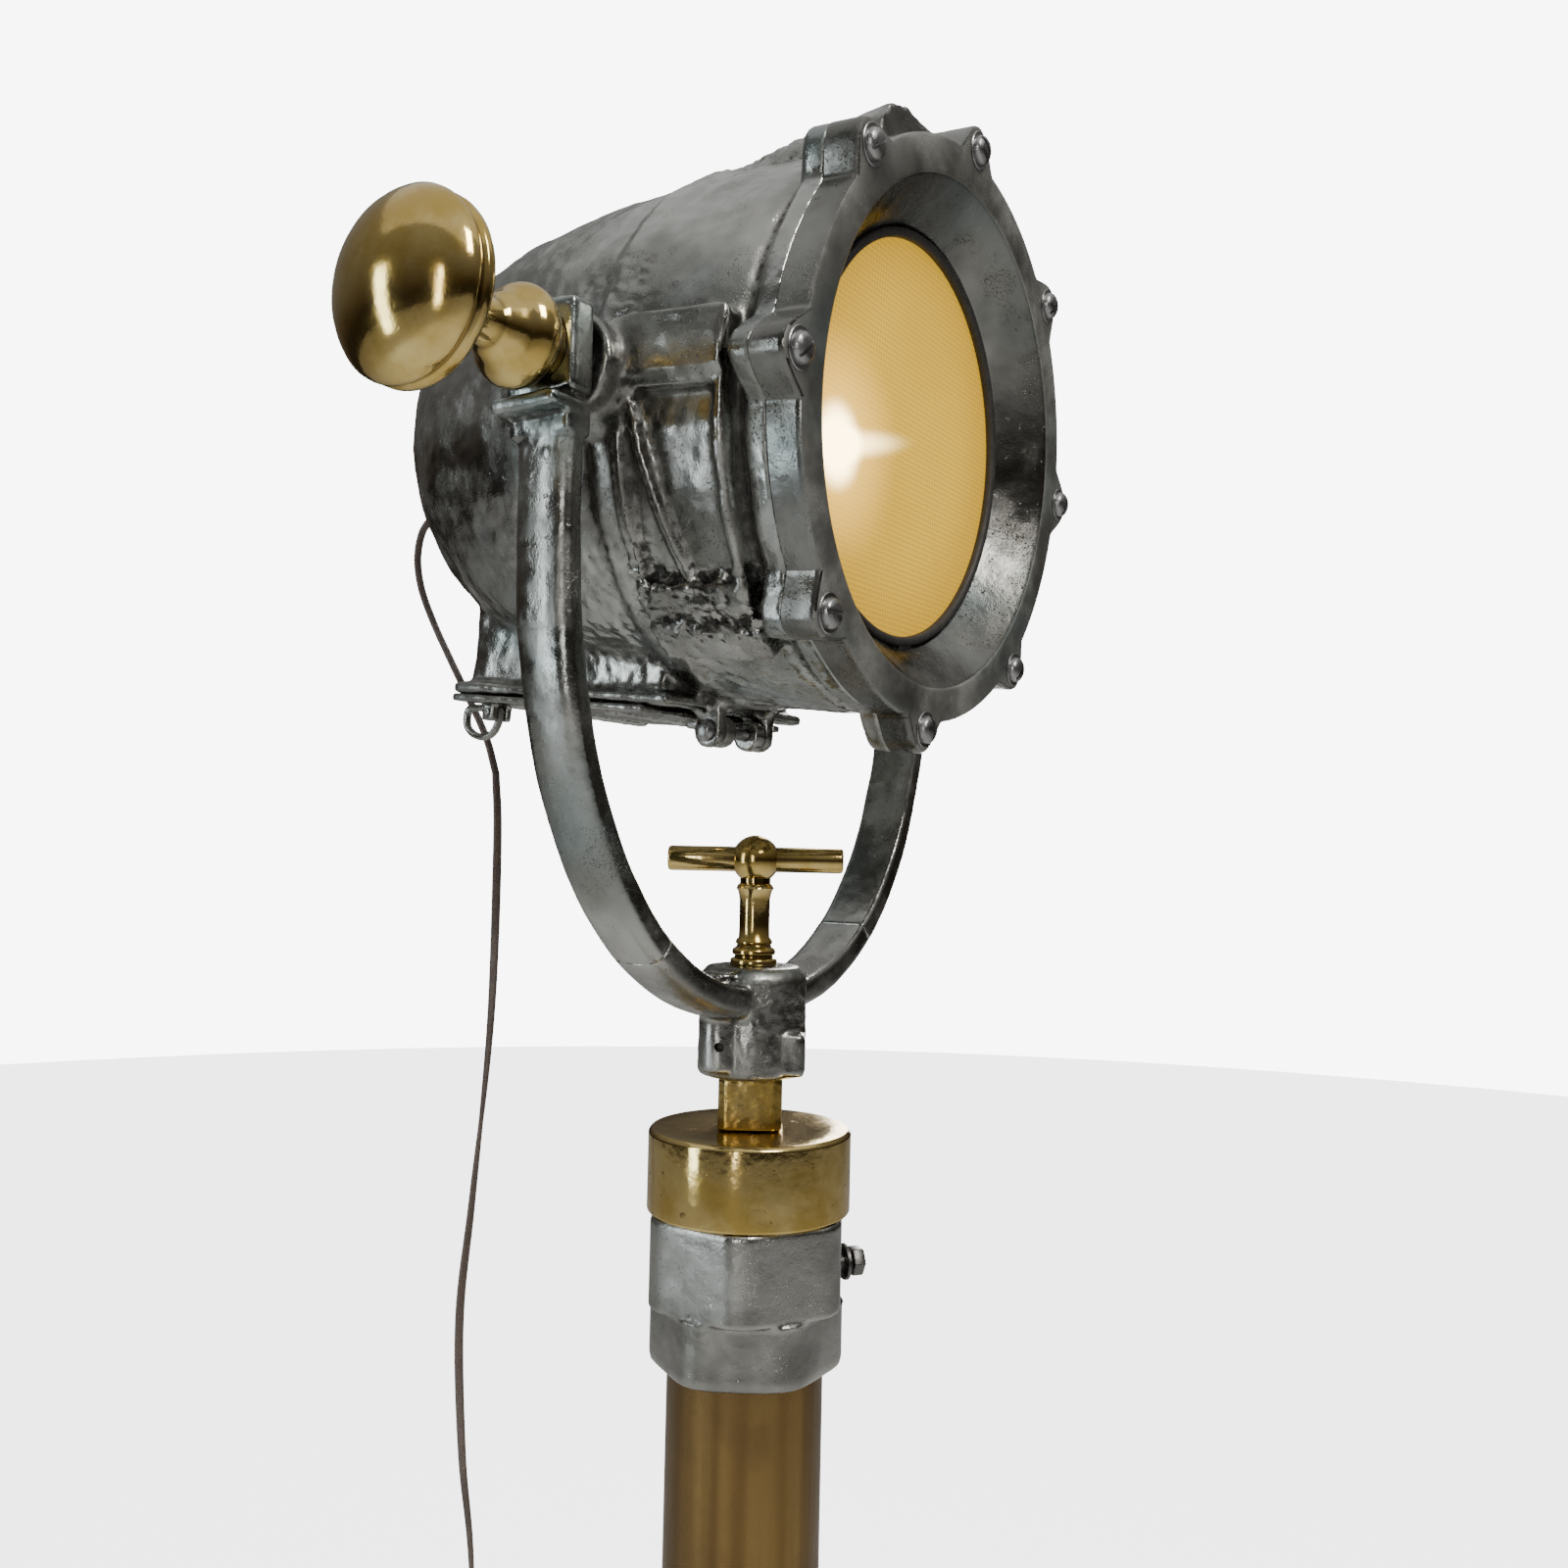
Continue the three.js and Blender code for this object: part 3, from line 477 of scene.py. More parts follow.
def makeAmberGlass(name):
    # pressed glass: rows of small dimples that cross on the diagonal; its glow is painted bulb light, brightest at
    # a painted hot spot and glare streak where the bulb shows through
    look = Look(name)
    parts = look.node("ShaderNodeSeparateXYZ", {}, {0: look.place})
    x, z = parts, Wire(look, parts.socket.node.outputs[2])
    rate = 2 * math.pi / glassLook["dimple"] * 0.7
    first = x.maths("SINE", (x + z) * rate, 0.0)
    second = x.maths("SINE", (x - z) * rate, 0.0)
    dimple = first * second
    rim = look.node("ShaderNodeVectorMath", {"operation": "DISTANCE"},
                    {0: look.place, 1: glassLook["middle"]}, 1)
    # painted highlight: a hot spot and a slanted glare streak, fixed on the glass left of centre
    side, up = x - glassLook["paintedHotSpot"][0], z - glassLook["paintedHotSpot"][1]
    along, across = side + up * glassLook["rise"], up - side * glassLook["rise"]
    spot = x.maths("SQRT", side * side * 2.0 + up * up * 2.2, 0.0)
    paintedStreak = x.maths("SQRT", along * along * 0.12 + across * across * 9.0, 0.0)
    cloud = look.noise(0.05, 2, 0.5)
    # painted light that dims toward the rim
    tone = look.mix(rim.ramp(0.05, 0.098), colour(*glassLook["amber"]), colour(*glassLook["edge"]))
    tone = look.mix(cloud.ramp(0.35, 0.7) * 0.5, tone, colour(*glassLook["cloud"]))
    tone = look.mix(dimple.ramp(-0.6, 0.7) * 0.55, tone, colour(*glassLook["hollow"]))
    tone = look.mix(spot.ramp(0.085, 0.02) * 0.5, tone, colour(*glassLook["paintedHalo"]))
    tone = look.mix((paintedStreak.ramp(0.030, 0.003) * 0.55 + spot.ramp(0.036, 0.008)).ramp(0, 1), tone,
                    colour(*glassLook["paintedGlare"]))
    return look.finish({"Base Color": look.mix(cloud, colour(0.34, 0.20, 0.03), colour(0.26, 0.15, 0.02)),
                        "Roughness": cloud.ramp(0.3, 0.7, 0.24, 0.32), "Transmission Weight": 0.25,
                        "IOR": 1.45, "Emission Color": tone, "Emission Strength": 6.0,
                        "Normal": look.bump(dimple, 0.0004, 0.6)})


def makeGlow(name, tone, strength):
    look = Look(name)
    cloud = look.noise(0.012, 2, 0.5)
    lit = look.mix(cloud.ramp(0.2, 0.8), colour(*tone), colour(tone[0], tone[1] * 0.94, tone[2] * 0.8))
    return look.finish({"Base Color": lit, "Roughness": cloud.ramp(0.3, 0.7, 0.25, 0.35), "Emission Color": lit,
                        "Emission Strength": strength})


def makeFlex(name):
    look = Look(name)
    weave = look.node("ShaderNodeTexVoronoi", {}, {"Vector": look.place, "Scale": 1 / 0.0009}, "Distance")
    soil = look.noise(0.03, 3, 0.6)
    base = look.mix(weave.ramp(0.1, 0.6) * 0.5 + soil.ramp(0.4, 0.8) * 0.5, colour(0.17, 0.13, 0.11),
                    colour(0.07, 0.05, 0.042))
    return look.finish({"Base Color": base, "Roughness": soil.ramp(0.3, 0.7, 0.5, 0.68),
                        "Normal": look.bump(weave, 0.0003, 0.7)})


castMetal = makeCastAluminium("cast aluminium")
castBezel = makeCastAluminium("machined casting", pits=1.2, waves=0.8, seed=4.0, satin=0.02, shade=0.45)
bezelSatin = makeCastAluminium("ground casting", pits=0.7, grimeAndShade=0.25, waves=0.1, seed=21.0, satin=0.26)
castFork = makeCastAluminium("fork casting", pits=0.7, grimeAndShade=0.8, waves=0.7, seed=9.0)
castCollar = makeCastAluminium("collar casting", pits=0.8, grimeAndShade=0.7, waves=0.5, seed=13.0)
polishedBrass = makeBrass("polished brass", shine=0.07, tarnish=0.25, dents=0.3)
agedBrass = makeBrass("cap brass", shine=0.10, tarnish=0.8, dents=0.8, seed=5.0)
satinBrass = makeSatinBrass("satin brass")
screwSteel = makeSteel("screw steel")
darkSteel = makeSteel("dark steel", (0.14, 0.135, 0.13), 0.38)
mirrorMetal = makeSteel("reflector metal", (0.42, 0.41, 0.38), 0.2)
blackRubber = makePlain("black rubber", (0.022, 0.021, 0.02), (0.04, 0.038, 0.035), 0.62)
blackPlastic = makePlain("moulded plastic", (0.03, 0.028, 0.026), (0.05, 0.047, 0.043), 0.36)
ceramicWhite = makePlain("glazed ceramic", (0.75, 0.72, 0.66), (0.6, 0.56, 0.5), 0.3)
amberGlass = makeAmberGlass("amber glass")
bulbGlow = makeGlow("bulb glow", (1.0, 0.80, 0.42), 14.0)
flexWeave = makeFlex("cord sleeve")
print("materials made")


# cord routes, from the head's gland to the plug, in millimetres from the column's axis

cordFacts = {"width": 5.0, "thick": 2.8, "twistEvery": 520.0}
loopRoute = [(0, 221.7, 1594.8), (0, 232, 1594), (0, 243, 1586), (0, 247, 1570), (0, 243, 1551),
             (0, 232, 1530), (0, 217, 1507), (0, 200, 1482), (0, 186, 1460), (0, 178, 1440)]
dropRoute = [(0, 177.9, 1439.9), (0, 175, 1400), (2, 178, 1300), (0, 186, 1200), (-1, 192, 1133),
             (0, 188, 1060), (0, 178, 1000), (1, 174, 900), (0, 178, 700), (0, 182, 500),
             (0, 184, 300), (0, 184, 160)]
floorRoute = [(0, 184, 159.6), (0, 184, 80), (0, 186, 45), (0, 192, 19), (0, 206, 5), (0, 224, 2.8),
              (-4, 250, 2.8), (-14, 272, 2.8), (-20, 283, 5), (-27, 292, 8)]
leadRoute = [(-35, 304, 7), (-44, 318, 2.8), (-50, 332, 2.8), (-50, 352, 2.8), (-34, 368, 2.8),
             (-10, 371, 2.8), (8, 359.6, 2.8)]
coilFacts = {"centre": (16, 318), "radius": 28.5, "across": 5.1, "up": 2.95, "wide": 3, "layers": 2,
             "first": 95, "perTurn": 24, "low": 1.9}


def flexSection():
    # two cores side by side under one sleeve
    core = cordFacts["thick"] / 2
    apart = cordFacts["width"] / 2 - core
    points = []
    for side in (1, -1):
        for i in range(9):
            a = math.radians(-68 + 17 * i) + (0 if side > 0 else math.pi)
            points.append((core * math.sin(a), side * apart + core * math.cos(a)))
    return points


def flexTube(name, line, side, twist=True):
    piece = swept(name, line, flexSection(), side, 2 * math.pi / cordFacts["twistEvery"] if twist else 0.0)
    metres = [mastPlace @ Vector(p) for p in line]
    long = sum((b - a).length for a, b in zip(metres, metres[1:]))
    return piece, metres, long


def coilLine():
    # turns laid side by side, one layer on another; each moves to the next lane in its last quarter
    cx, cy = coilFacts["centre"]
    perTurn, wide = coilFacts["perTurn"], coilFacts["wide"]
    lanes = [(layer, lane if layer % 2 else wide - 1 - lane)
             for layer in range(coilFacts["layers"]) for lane in range(wide)]
    line = []
    for k, (layer, lane) in enumerate(lanes):
        last = k + 1 == len(lanes)
        nextLayer, nextLane = lanes[k if last else k + 1]
        for i in range(0 if k else 3, perTurn - 2 if last else perTurn):
            over = max(0, i / perTurn * 4 - 3)
            over = over * over * (3 - 2 * over)
            lanesOut = lane + (nextLane - lane) * over - (wide - 1) / 2
            r = coilFacts["radius"] + lanesOut * coilFacts["across"]
            z = coilFacts["low"] + (layer + (nextLayer - layer) * over) * coilFacts["up"]
            a = math.radians(coilFacts["first"] - 360 * i / perTurn)
            line.append((cx + r * math.cos(a), cy + r * math.sin(a), z))
    plugX, plugY = standing["plugAt"]
    tail = [(8, 352.5, 8.0), (22, 354, 10.5), (36, 353, 13.5), (plugX - 13, plugY, 15.2)]
    return smoothLine([(9.4, 359.2, 2.8)] + line + tail, 3.2)


def makeCords():
    loop, loopPath, loopLong = flexTube("cordLoop", smoothLine(loopRoute, 4), (1, 0, 0), False)
    drop, dropPath, dropLong = flexTube("cordDrop", smoothLine(dropRoute, 8), (1, 0, 0))
    low, lowPath, lowLong = flexTube("cordFloor", smoothLine(floorRoute, 4), (1, 0, 0), False)
    lead, leadPath, leadLong = flexTube("cordLead", smoothLine(leadRoute, 4), (0.8, 0.6, 0), False)
    coil, coilPath, coilLong = flexTube("cordCoil", coilLine(), (0, 1, 0), False)
    place(loop, mastPlace, None, flexWeave, ["cord_loop"])
    place(drop, mastPlace, None, flexWeave, ["cord_drop"])
    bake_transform(loop)
    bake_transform(drop)
    place(low, mastPlace, "column", flexWeave, ["cord_floor"])
    place(lead, mastPlace, "column", flexWeave, ["cord_lead"])
    place(coil, mastPlace, "column", flexWeave, ["cord_coil"])
    print("cords", [round(v, 3) for v in (loopLong, dropLong, lowLong, leadLong, coilLong)])


def stadium(half, radius, steps=10):
    points = []
    for side in (1, -1):
        for i in range(steps + 1):
            a = math.radians(-90 + 180 * i / steps) + (0 if side > 0 else math.pi)
            points.append((side * half + radius * math.cos(a), radius * math.sin(a)))
    return points


def makeSwitch():
    where = (mastPlace @ Matrix.Translation((*standing["switchAt"], 0))
             @ Matrix.Rotation(math.radians(standing["switchTurn"]), 4, "Z"))
    # levels as [inset, height]
    levels = [(2.4, 0.4), (0.9, 1.0), (0.2, 2.4), (0, 4.5), (0, 8.2), (0.45, 8.5), (0.45, 9.1), (0, 9.4),
              (0, 12.5), (0.6, 15.2), (2.2, 16.6), (4.0, 17.0)]
    body = lofted("inlineSwitch", [[(x, y, z) for x, y in stadium(14, 13 - inset)] for inset, z in levels])
    well = block("well", (16.6, 10.6, 14), (0, 0, 17), 0.4)
    outlet = [(0, 24), (4.6, 24), (4.6, 30), (4.0, 30.5), (4.0, 32), (4.4, 32.5), (3.6, 36), (0, 36)]
    ends = [turned("outlet", outlet, "X", 32) for _ in range(2)]
    ends[1].data.transform(Matrix.Rotation(math.pi, 4, "Z"))
    for end in ends:
        end.data.transform(Matrix.Translation((0, 0, 7.5)))
    carve(unite(body, *ends), well)
    place(body, where, "column", blackPlastic, ["cord_switch"])
    button = block("switchButton", (16, 10, 7), (0, 0, 15.6), 1.2, 4)
    ridges = [block("ridge", (1.0, 7, 0.7), (x, 0, 19.1), 0.3) for x in (-5, -3, 3, 5)]
    unite(button, *ridges)
    place(button, where, "button", blackPlastic, ["switch_button"])


def makePlug():
    where = mastPlace @ Matrix.Translation((*standing["plugAt"], 0))
    profile = eased([(0, -12), (4.2, -12), (5.2, -11), (6.5, -4), (10.5, 1), (14.2, 5), (15, 10), (15, 20),
                     (14.4, 25), (13.4, 26), (0, 26)], 2.0)
    body = turned("mainsPlug", profile, "X", 64)
    grooves = [turned("groove", [(13.2, x), (16, x - 1), (16, x + 1)], "X", 64, closed=True)
               for x in (11, 14, 17, 20)]
    carve(body, *grooves)
    pins = [rod("pin", 2.4, (24, y, 0), (45, y, 0), 24, 1.6) for y in (-9.5, 9.5)]
    unite(body, *pins)
    body.data.transform(Matrix.Translation((0, 0, 15.2)))
    place(body, where, "column", blackPlastic, ["mains_plug"])


makeSwitch()
makePlug()
makeCords()
print("cord, switch and plug made")


# rings of repeated pieces, such as screws, by one node tree

def ringTree(name, source, material):
    # inputs: how many, and the radius of the circle they stand on, in the XZ plane
    tree = bpy.data.node_groups.new(name, "GeometryNodeTree")
    face = tree.interface
    face.new_socket(name="Geometry", in_out="OUTPUT", socket_type="NodeSocketGeometry")
    face.new_socket(name="Count", in_out="INPUT", socket_type="NodeSocketInt")
    face.new_socket(name="Radius", in_out="INPUT", socket_type="NodeSocketFloat")
    face.new_socket(name="Seed", in_out="INPUT", socket_type="NodeSocketInt")
    nodes, links = tree.nodes, tree.links
    given, out = nodes.new("NodeGroupInput"), nodes.new("NodeGroupOutput")
    circle = nodes.new("GeometryNodeMeshCircle")
    links.new(given.outputs["Count"], circle.inputs["Vertices"])
    links.new(given.outputs["Radius"], circle.inputs["Radius"])
    tilt = nodes.new("GeometryNodeTransform")
    tilt.inputs["Rotation"].default_value = (math.radians(90), 0, 0)
    links.new(circle.outputs["Mesh"], tilt.inputs["Geometry"])
    thing = nodes.new("GeometryNodeObjectInfo")
    thing.inputs["Object"].default_value = source
    spin = nodes.new("FunctionNodeRandomValue")
    spin.data_type = "FLOAT_VECTOR"
    spin.inputs[0].default_value = (0, -2.8, 0)
    spin.inputs[1].default_value = (0, 2.8, 0)
    links.new(given.outputs["Seed"], spin.inputs["Seed"])
    scatter = nodes.new("GeometryNodeInstanceOnPoints")
    links.new(tilt.outputs["Geometry"], scatter.inputs["Points"])
    links.new(thing.outputs["Geometry"], scatter.inputs["Instance"])
    links.new(spin.outputs[0], scatter.inputs["Rotation"])
    real = nodes.new("GeometryNodeRealizeInstances")
    paint = nodes.new("GeometryNodeSetMaterial")
    paint.inputs["Material"].default_value = material
    links.new(scatter.outputs["Instances"], real.inputs["Geometry"])
    links.new(real.outputs["Geometry"], paint.inputs["Geometry"])
    links.new(paint.outputs["Geometry"], out.inputs["Geometry"])
    return tree


def ringOf(name, source, count, radius, seed, material):
    tree = ringTree(name + " ring", source, material)
    piece = makeObject(name, [(0, 0, 0)], [])
    stage = piece.modifiers.new("ring", "NODES")
    stage.node_group = tree
    values = {"Count": count, "Radius": radius, "Seed": seed}
    for item in tree.interface.items_tree:
        if item.in_out == "INPUT" and item.name in values:
            stage[item.identifier] = values[item.name]
    bake(piece)
    bpy.data.objects.remove(source)
    return piece


# head

shell = {"flangeY": -87.96, "screwCircle": 134.5, "lugs": 8, "hinge": (2, -143),
         "rim": 131.2, "lugRise": 14.6, "lugAngle": 7.8}
domeLine = [(126.5, 9), (125.6, 24), (124, 40), (122, 58), (119, 77), (115, 97), (110, 115), (104.6, 130),
            (98, 143), (89.6, 155), (80, 165), (68.6, 173), (56, 179), (42.6, 183.8), (28, 187),
            (14, 189.3), (0, 190)]
drumLine = [(0, -87.7), (129, -87.7), (129, -76), (125.4, -73.6), (125.4, -70.4), (128.6, -68), (128.4, -14),
            (130.0, -12), (130.0, 3), (128.4, 5.5)]


def circlePlaces(radius, count):
    return [(radius * math.cos(2 * math.pi * i / count), radius * math.sin(2 * math.pi * i / count))
            for i in range(count)]


def arcBlock(name, side, radii, turn, span, lean=0.0):
    # block that follows the drum, from one angle below the pivot to another
    rings, count = [], 14
    for k in range(count + 1):
        a = math.radians(turn[0] + (turn[1] - turn[0]) * k / count)
        low, high = (y + lean * k / count for y in span)
        rings.append([Vector((side * r * math.cos(a), y, -r * math.sin(a)))
                      for r, y in ((radii[0], low), (radii[1], low), (radii[1], high), (radii[0], high))])
    return lofted(name, rings)


def rimAt(angle):
    # outside of the flange, which swells round each screw
    step = 2 * math.pi / shell["lugs"]
    off = abs((angle + step / 2) % step - step / 2)
    near = min(1, off / math.radians(shell["lugAngle"]))
    return shell["rim"] + shell["lugRise"] * (0.5 + 0.5 * math.cos(math.pi * near)) ** 0.65


def scalloped(name, sectionAt, count=720):
    # ring round the Y axis whose section changes with the angle
    rings = []
    for k in range(count):
        a = 2 * math.pi * k / count
        rings.append([Vector((r * math.cos(a), y, r * math.sin(a))) for r, y in sectionAt(rimAt(a))])
    return lofted(name, rings, closed=True)


def crownWedge():
    # pad on top of the drum that rises to the flange; levels as [y, top, half the width]
    levels = [(14, 121, 40), (8, 124, 50), (-4, 127.5, 56), (-40, 133.5, 60), (-76, 139, 62), (-87.7, 140, 62)]
    rings = []
    for y, top, half in levels:
        section = [(-half, 100), (-half, top - 15), (-half + 7, top - 5.5), (-half + 22, top - 0.8), (0, top),
                   (half - 22, top - 0.8), (half - 7, top - 5.5), (half, top - 15), (half, 100)]
        rings.append([Vector((x, y, z)) for x, z in section])
    return lofted("crown", rings)


def makeHead():
    y, z = shell["hinge"]
    body = turned("searchlightBody", eased(drumLine, 1.2, 2) + domeLine, "Y", 128)
    sides = (-1, 1)
    raised = [block("lampBox", (110, 129, 95), (0, 70.5, -86.5), 5),
              block("boxLip", (122, 141, 6), (0, 70.5, -131), 2.2), crownWedge()]
    raised += [rod("boss", 21, (side * 148, 0, 0), (side * 108, 0, 0), 48, 2) for side in sides]
    raised += [block("bossRib", (26, 32, 46), (side * 121, 2, -3), 5) for side in sides]
    raised += [rod("ear", 8.5, (-25, y, z), (-18, y, z), 32, 1),
               rod("ear", 8.5, (18, y, z), (25, y, z), 32, 1)]
    raised += [block("earRoot", (7, 15, 18), (side * 21.5, y, z + 10), 1.5) for side in sides]
    for side in sides:
        raised += [arcBlock("pad", side, (118, 135.4), (-9, 56), (-69.5, -10)),
                   arcBlock("brow", side, (126, 138.4), (-9, 2), (-69.5, -11)),
                   arcBlock("hammeredEdge", side, (126, 137.4), (39, 45), (-69.5, -12)),
                   arcBlock("sideLip", side, (126, 138.6), (48, 55.5), (-69.5, -11))]
    raised.append(scalloped("flange", lambda rim: [(118, shell["flangeY"]), (rim, shell["flangeY"]), (rim, -78.5),
                                                   (rim - 1.6, -76.6), (118, -76.6)], 360))
    ribs = [arcBlock("rib", side, (127, 134.2), (3, 38), (-21, -16), -20) for side in sides]
    pockets = [arcBlock("pocket", side, (130.2, 150), (4, 39), (-64, -17)) for side in sides]
    unite(carve(unite(body, *raised), *pockets), *ribs)
    # rough patches as centre, half size and depth
    rough = [((-96, -42, -92), (20, 32, 13), 1.9), ((96, -42, -92), (20, 32, 13), 1.9),
             ((-124, 4, 30), (16, 18, 22), 0.9), ((0, -34, 128), (62, 30, 14), 0.9),
             ((-95, 30, -95), (40, 50, 28), 0.7), ((-60, -50, -116), (50, 30, 18), 0.6)]
    cast(body, 1.75, 5, rough, 1.0)
    inside = turned("inside", [(0, -90), (121, -90), (121, 8), (119, 40), (114, 76), (105, 112), (93, 139),
                               (76, 160), (54, 173), (28, 181), (0, 185)], "Y", 96)
    holes = [block("boxInside", (100, 119, 70), (0, 70.5, -100), 2)]
    holes += [rod("bore", 8.3, (side * 160, 0, 0), (side * 100, 0, 0), 48) for side in sides]
    holes += [rod("pinHole", 3.3, (-40, y, z), (40, y, z), 24),
              rod("cordHole", 7, (0, 160, -24), (0, 200, -24), 32)]
    holes += [rod("screwHole", 3.3, (px, -100, pz), (px, -66, pz), 20)
              for px, pz in circlePlaces(shell["screwCircle"], shell["lugs"])]
    carve(body, inside, *holes)
    place(body, headPlace, "head", castMetal, ["head_body"], 50)


bezelFacts = {"face": -104, "back": -88, "mouth": 115.5, "lip": 95.6, "seat": 97.8}


def makeBezel():
    f = bezelFacts

    def section(rim):
        # lip, funnel, flat face, rounded rim, back and the seat of the glass
        return [(f["lip"], -81), (f["lip"] + 0.2, -81.8), (97, -83.4), (f["mouth"] - 2.0, f["face"] + 2.2),
                (f["mouth"] - 0.8, f["face"] + 0.7), (f["mouth"] + 0.8, f["face"]), (rim - 2.0, f["face"]),
                (rim - 0.7, f["face"] + 0.5), (rim - 0.1, f["face"] + 1.8), (rim, f["face"] + 3),
                (rim, f["back"]), (120.5, f["back"]), (120.5, -72), (f["seat"], -72), (f["seat"], -81)]

    ring = scalloped("frontBezel", section)
    holes = [rod("hole", 3.3, (x, -110, z), (x, -80, z), 20)
             for x, z in circlePlaces(shell["screwCircle"], shell["lugs"])]
    carve(ring, *holes)
    place(ring, headPlace, "head", castBezel, ["front_bezel"], 40)
    # only the flat front is ground
    ring.data.materials.append(bezelSatin)
    ahead = (headPlace.to_3x3() @ Vector((0, -1, 0))).normalized()
    for polygon in ring.data.polygons:
        if polygon.normal.dot(ahead) > 0.9:
            polygon.material_index = 1


def makeBezelScrews():
    top = bezelFacts["face"] - 0.3
    profile = eased([(0, -79), (2.6, -79), (2.6, top), (6.6, top), (6.6, top - 1.2), (5.9, top - 2.9),
                     (4.2, top - 4.1), (2.2, top - 4.6), (0, top - 4.8)], 0.5, 2)
    screw = turned("screw", profile, "Y", 32)
    carve(screw, block("slot", (15, 4.6, 1.5), (0, top - 4.8, 0), 0.1, 1))
    washer = turned("washer", [(2.9, top + 0.25), (8.2, top + 0.25), (8.6, top - 0.1), (8.2, top - 0.5),
                               (2.9, top - 0.5)], "Y", 32, closed=True)
    unite(screw, washer)
    screws = ringOf("bezelScrews", screw, shell["lugs"], shell["screwCircle"], 3, screwSteel)
    nodes = [f"bezel_screw_{i + 1}" for i in range(shell["lugs"])]
    place(screws, headPlace, "head", screwSteel, nodes, 35)


def makeGlass():
    gasket = turned("glassGasket", [(91, -80.2), (91, -82.2), (91.6, -83.2), (93, -83.8), (94.6, -83.6),
                                    (95.3, -82.6), (95.3, -80.7), (97.5, -80.6), (97.5, -79.5), (91.4, -79.5)],
                    "Y", 128, closed=True)
    place(gasket, headPlace, "head", blackRubber, ["glass_gasket"], 60)
    glass = turned("frontGlass", eased([(0, -79.2), (96.8, -79.2), (97.4, -78.6), (97.4, -74.8), (96.8, -74.2),
                                        (0, -74.2)], 0.3, 2), "Y", 128)
    place(glass, headPlace, "head", amberGlass, ["front_glass"], 40)
    clip = block("gasketClip", (11, 2.0, 4.5), (14, -81.6, -94.6), 0.6)
    place(clip, headPlace, "head", darkSteel, (), 40)
    bowl = smoothLine([(22, 34, 0), (44, 22, 0), (64, 2, 0), (80, -26, 0), (90, -58, 0), (94, -68, 0)], 6)
    bowl = [(p.x, p.y) for p in bowl]
    back = [(r + 1.4, y + 0.6) for r, y in reversed(bowl)]
    place(turned("reflectorBowl", bowl + back, "Y", 96, closed=True), headPlace, "head", mirrorMetal,
          ["reflector"], 60)
    bulb = smoothLine([(13, 44, 0), (15, 36, 0), (24, 20, 0), (29, 4, 0), (28, -12, 0), (20, -24, 0), (10, -29, 0),
                       (0, -30, 0)], 3)
    place(turned("bulbGlass", [(0, 66), (12.5, 66)] + [(max(0, p.x), p.y) for p in bulb], "Y", 48), headPlace,
          "head", bulbGlow, ["bulb"], 60)


def makeHeadFittings():
    for side in (-1, 1):
        end = 188 if side < 0 else 184
        stud = turned("trunnion", eased([(0, 112), (14, 112), (14, 119), (8, 119), (8, end), (0, end)], 0.8, 2),
                      "X", 48)
        if side < 0:
            stud.data.transform(Matrix.Rotation(math.pi, 4, "Z"))
        word = "left" if side < 0 else "right"
        stud.name = "trunnion" + word.title()
        place(stud, headPlace, "head", screwSteel, ["trunnion_stud_" + word], 40)
    low = headPlace @ Matrix.Translation((0, 0, -24))
    gland = turned("cordGland", eased([(0, 182), (6.5, 182), (6.5, 189.4), (11, 189.4), (11, 193), (8, 195),
                                       (0, 195)], 0.6, 2), "Y", 48)
    place(gland, low, "head", agedBrass, ["cord_gland"], 40)
    steps = [(0, 195.3), (5.6, 195.3)]
    for k in range(7):
        r, y = 5.4 - 0.3 * k, 197.0 + 3.2 * k
        steps += [(r, y), (r - 0.1, y + 1.6), (r - 0.9, y + 1.9), (r - 1.0, y + 2.9)]
    relief = turned("strainRelief", steps + [(2.9, 219.6), (0, 219.9)], "Y", 32)
    place(relief, low, "head", blackRubber, ["strain_relief"], 50)
    pin = turned("coverHingePin", eased([(0, -28), (3, -28), (3, 25.3), (5.6, 25.3), (5.4, 27.4), (3.4, 29.2),
                                         (0, 29.8)], 0.7, 3), "X", 40)
    pin.data.transform(Matrix.Translation((0, *shell["hinge"])) @ Matrix.Rotation(math.pi, 4, "Z"))
    place(pin, headPlace, "head", screwSteel, ["cover_hinge_pin"], 40)


coverFacts = {"top": -134.3, "back": 141, "front": 14, "half": 61, "catch": (-50, 118, -142.8)}


def makeCover():
    f = coverFacts
    y, z = shell["hinge"]
    cx, cy, cz = f["catch"]
    plate = block("bottomCover", (2 * f["half"], f["back"] - f["front"], 4),
                  (0, (f["back"] + f["front"]) / 2, f["top"] - 2), 1.4)
    parts = [block("rib", (108, 8, 4), (0, along, f["top"] - 4), 1.4) for along in (40, 104)]
    for side in (-1, 1):
        parts.append(rod("ear", 8, (side * 9, y, z), (side * 17.7, y, z), 32, 1.2))
        parts.append(block("earRoot", (8.7, 20, 6.4), (side * 13.35, y + 9, f["top"] - 5), 1.4))
        parts.append(block("catchEar", (4, 9, 10), (cx + side * 5, cy, f["top"] - 8), 1.2))
    unite(plate, *parts)
    cast(plate, 1.0, 2, [((0, 70, f["top"] - 4), (60, 60, 3), 0.35)], 0.25)
    carve(plate, rod("hole", 3.3, (-40, y, z), (40, y, z), 24),
          rod("hole", 2.3, (cx - 20, cy, cz), (cx + 20, cy, cz), 20))
    place(plate, headPlace, "cover", castMetal, ["bottom_cover"], 50)


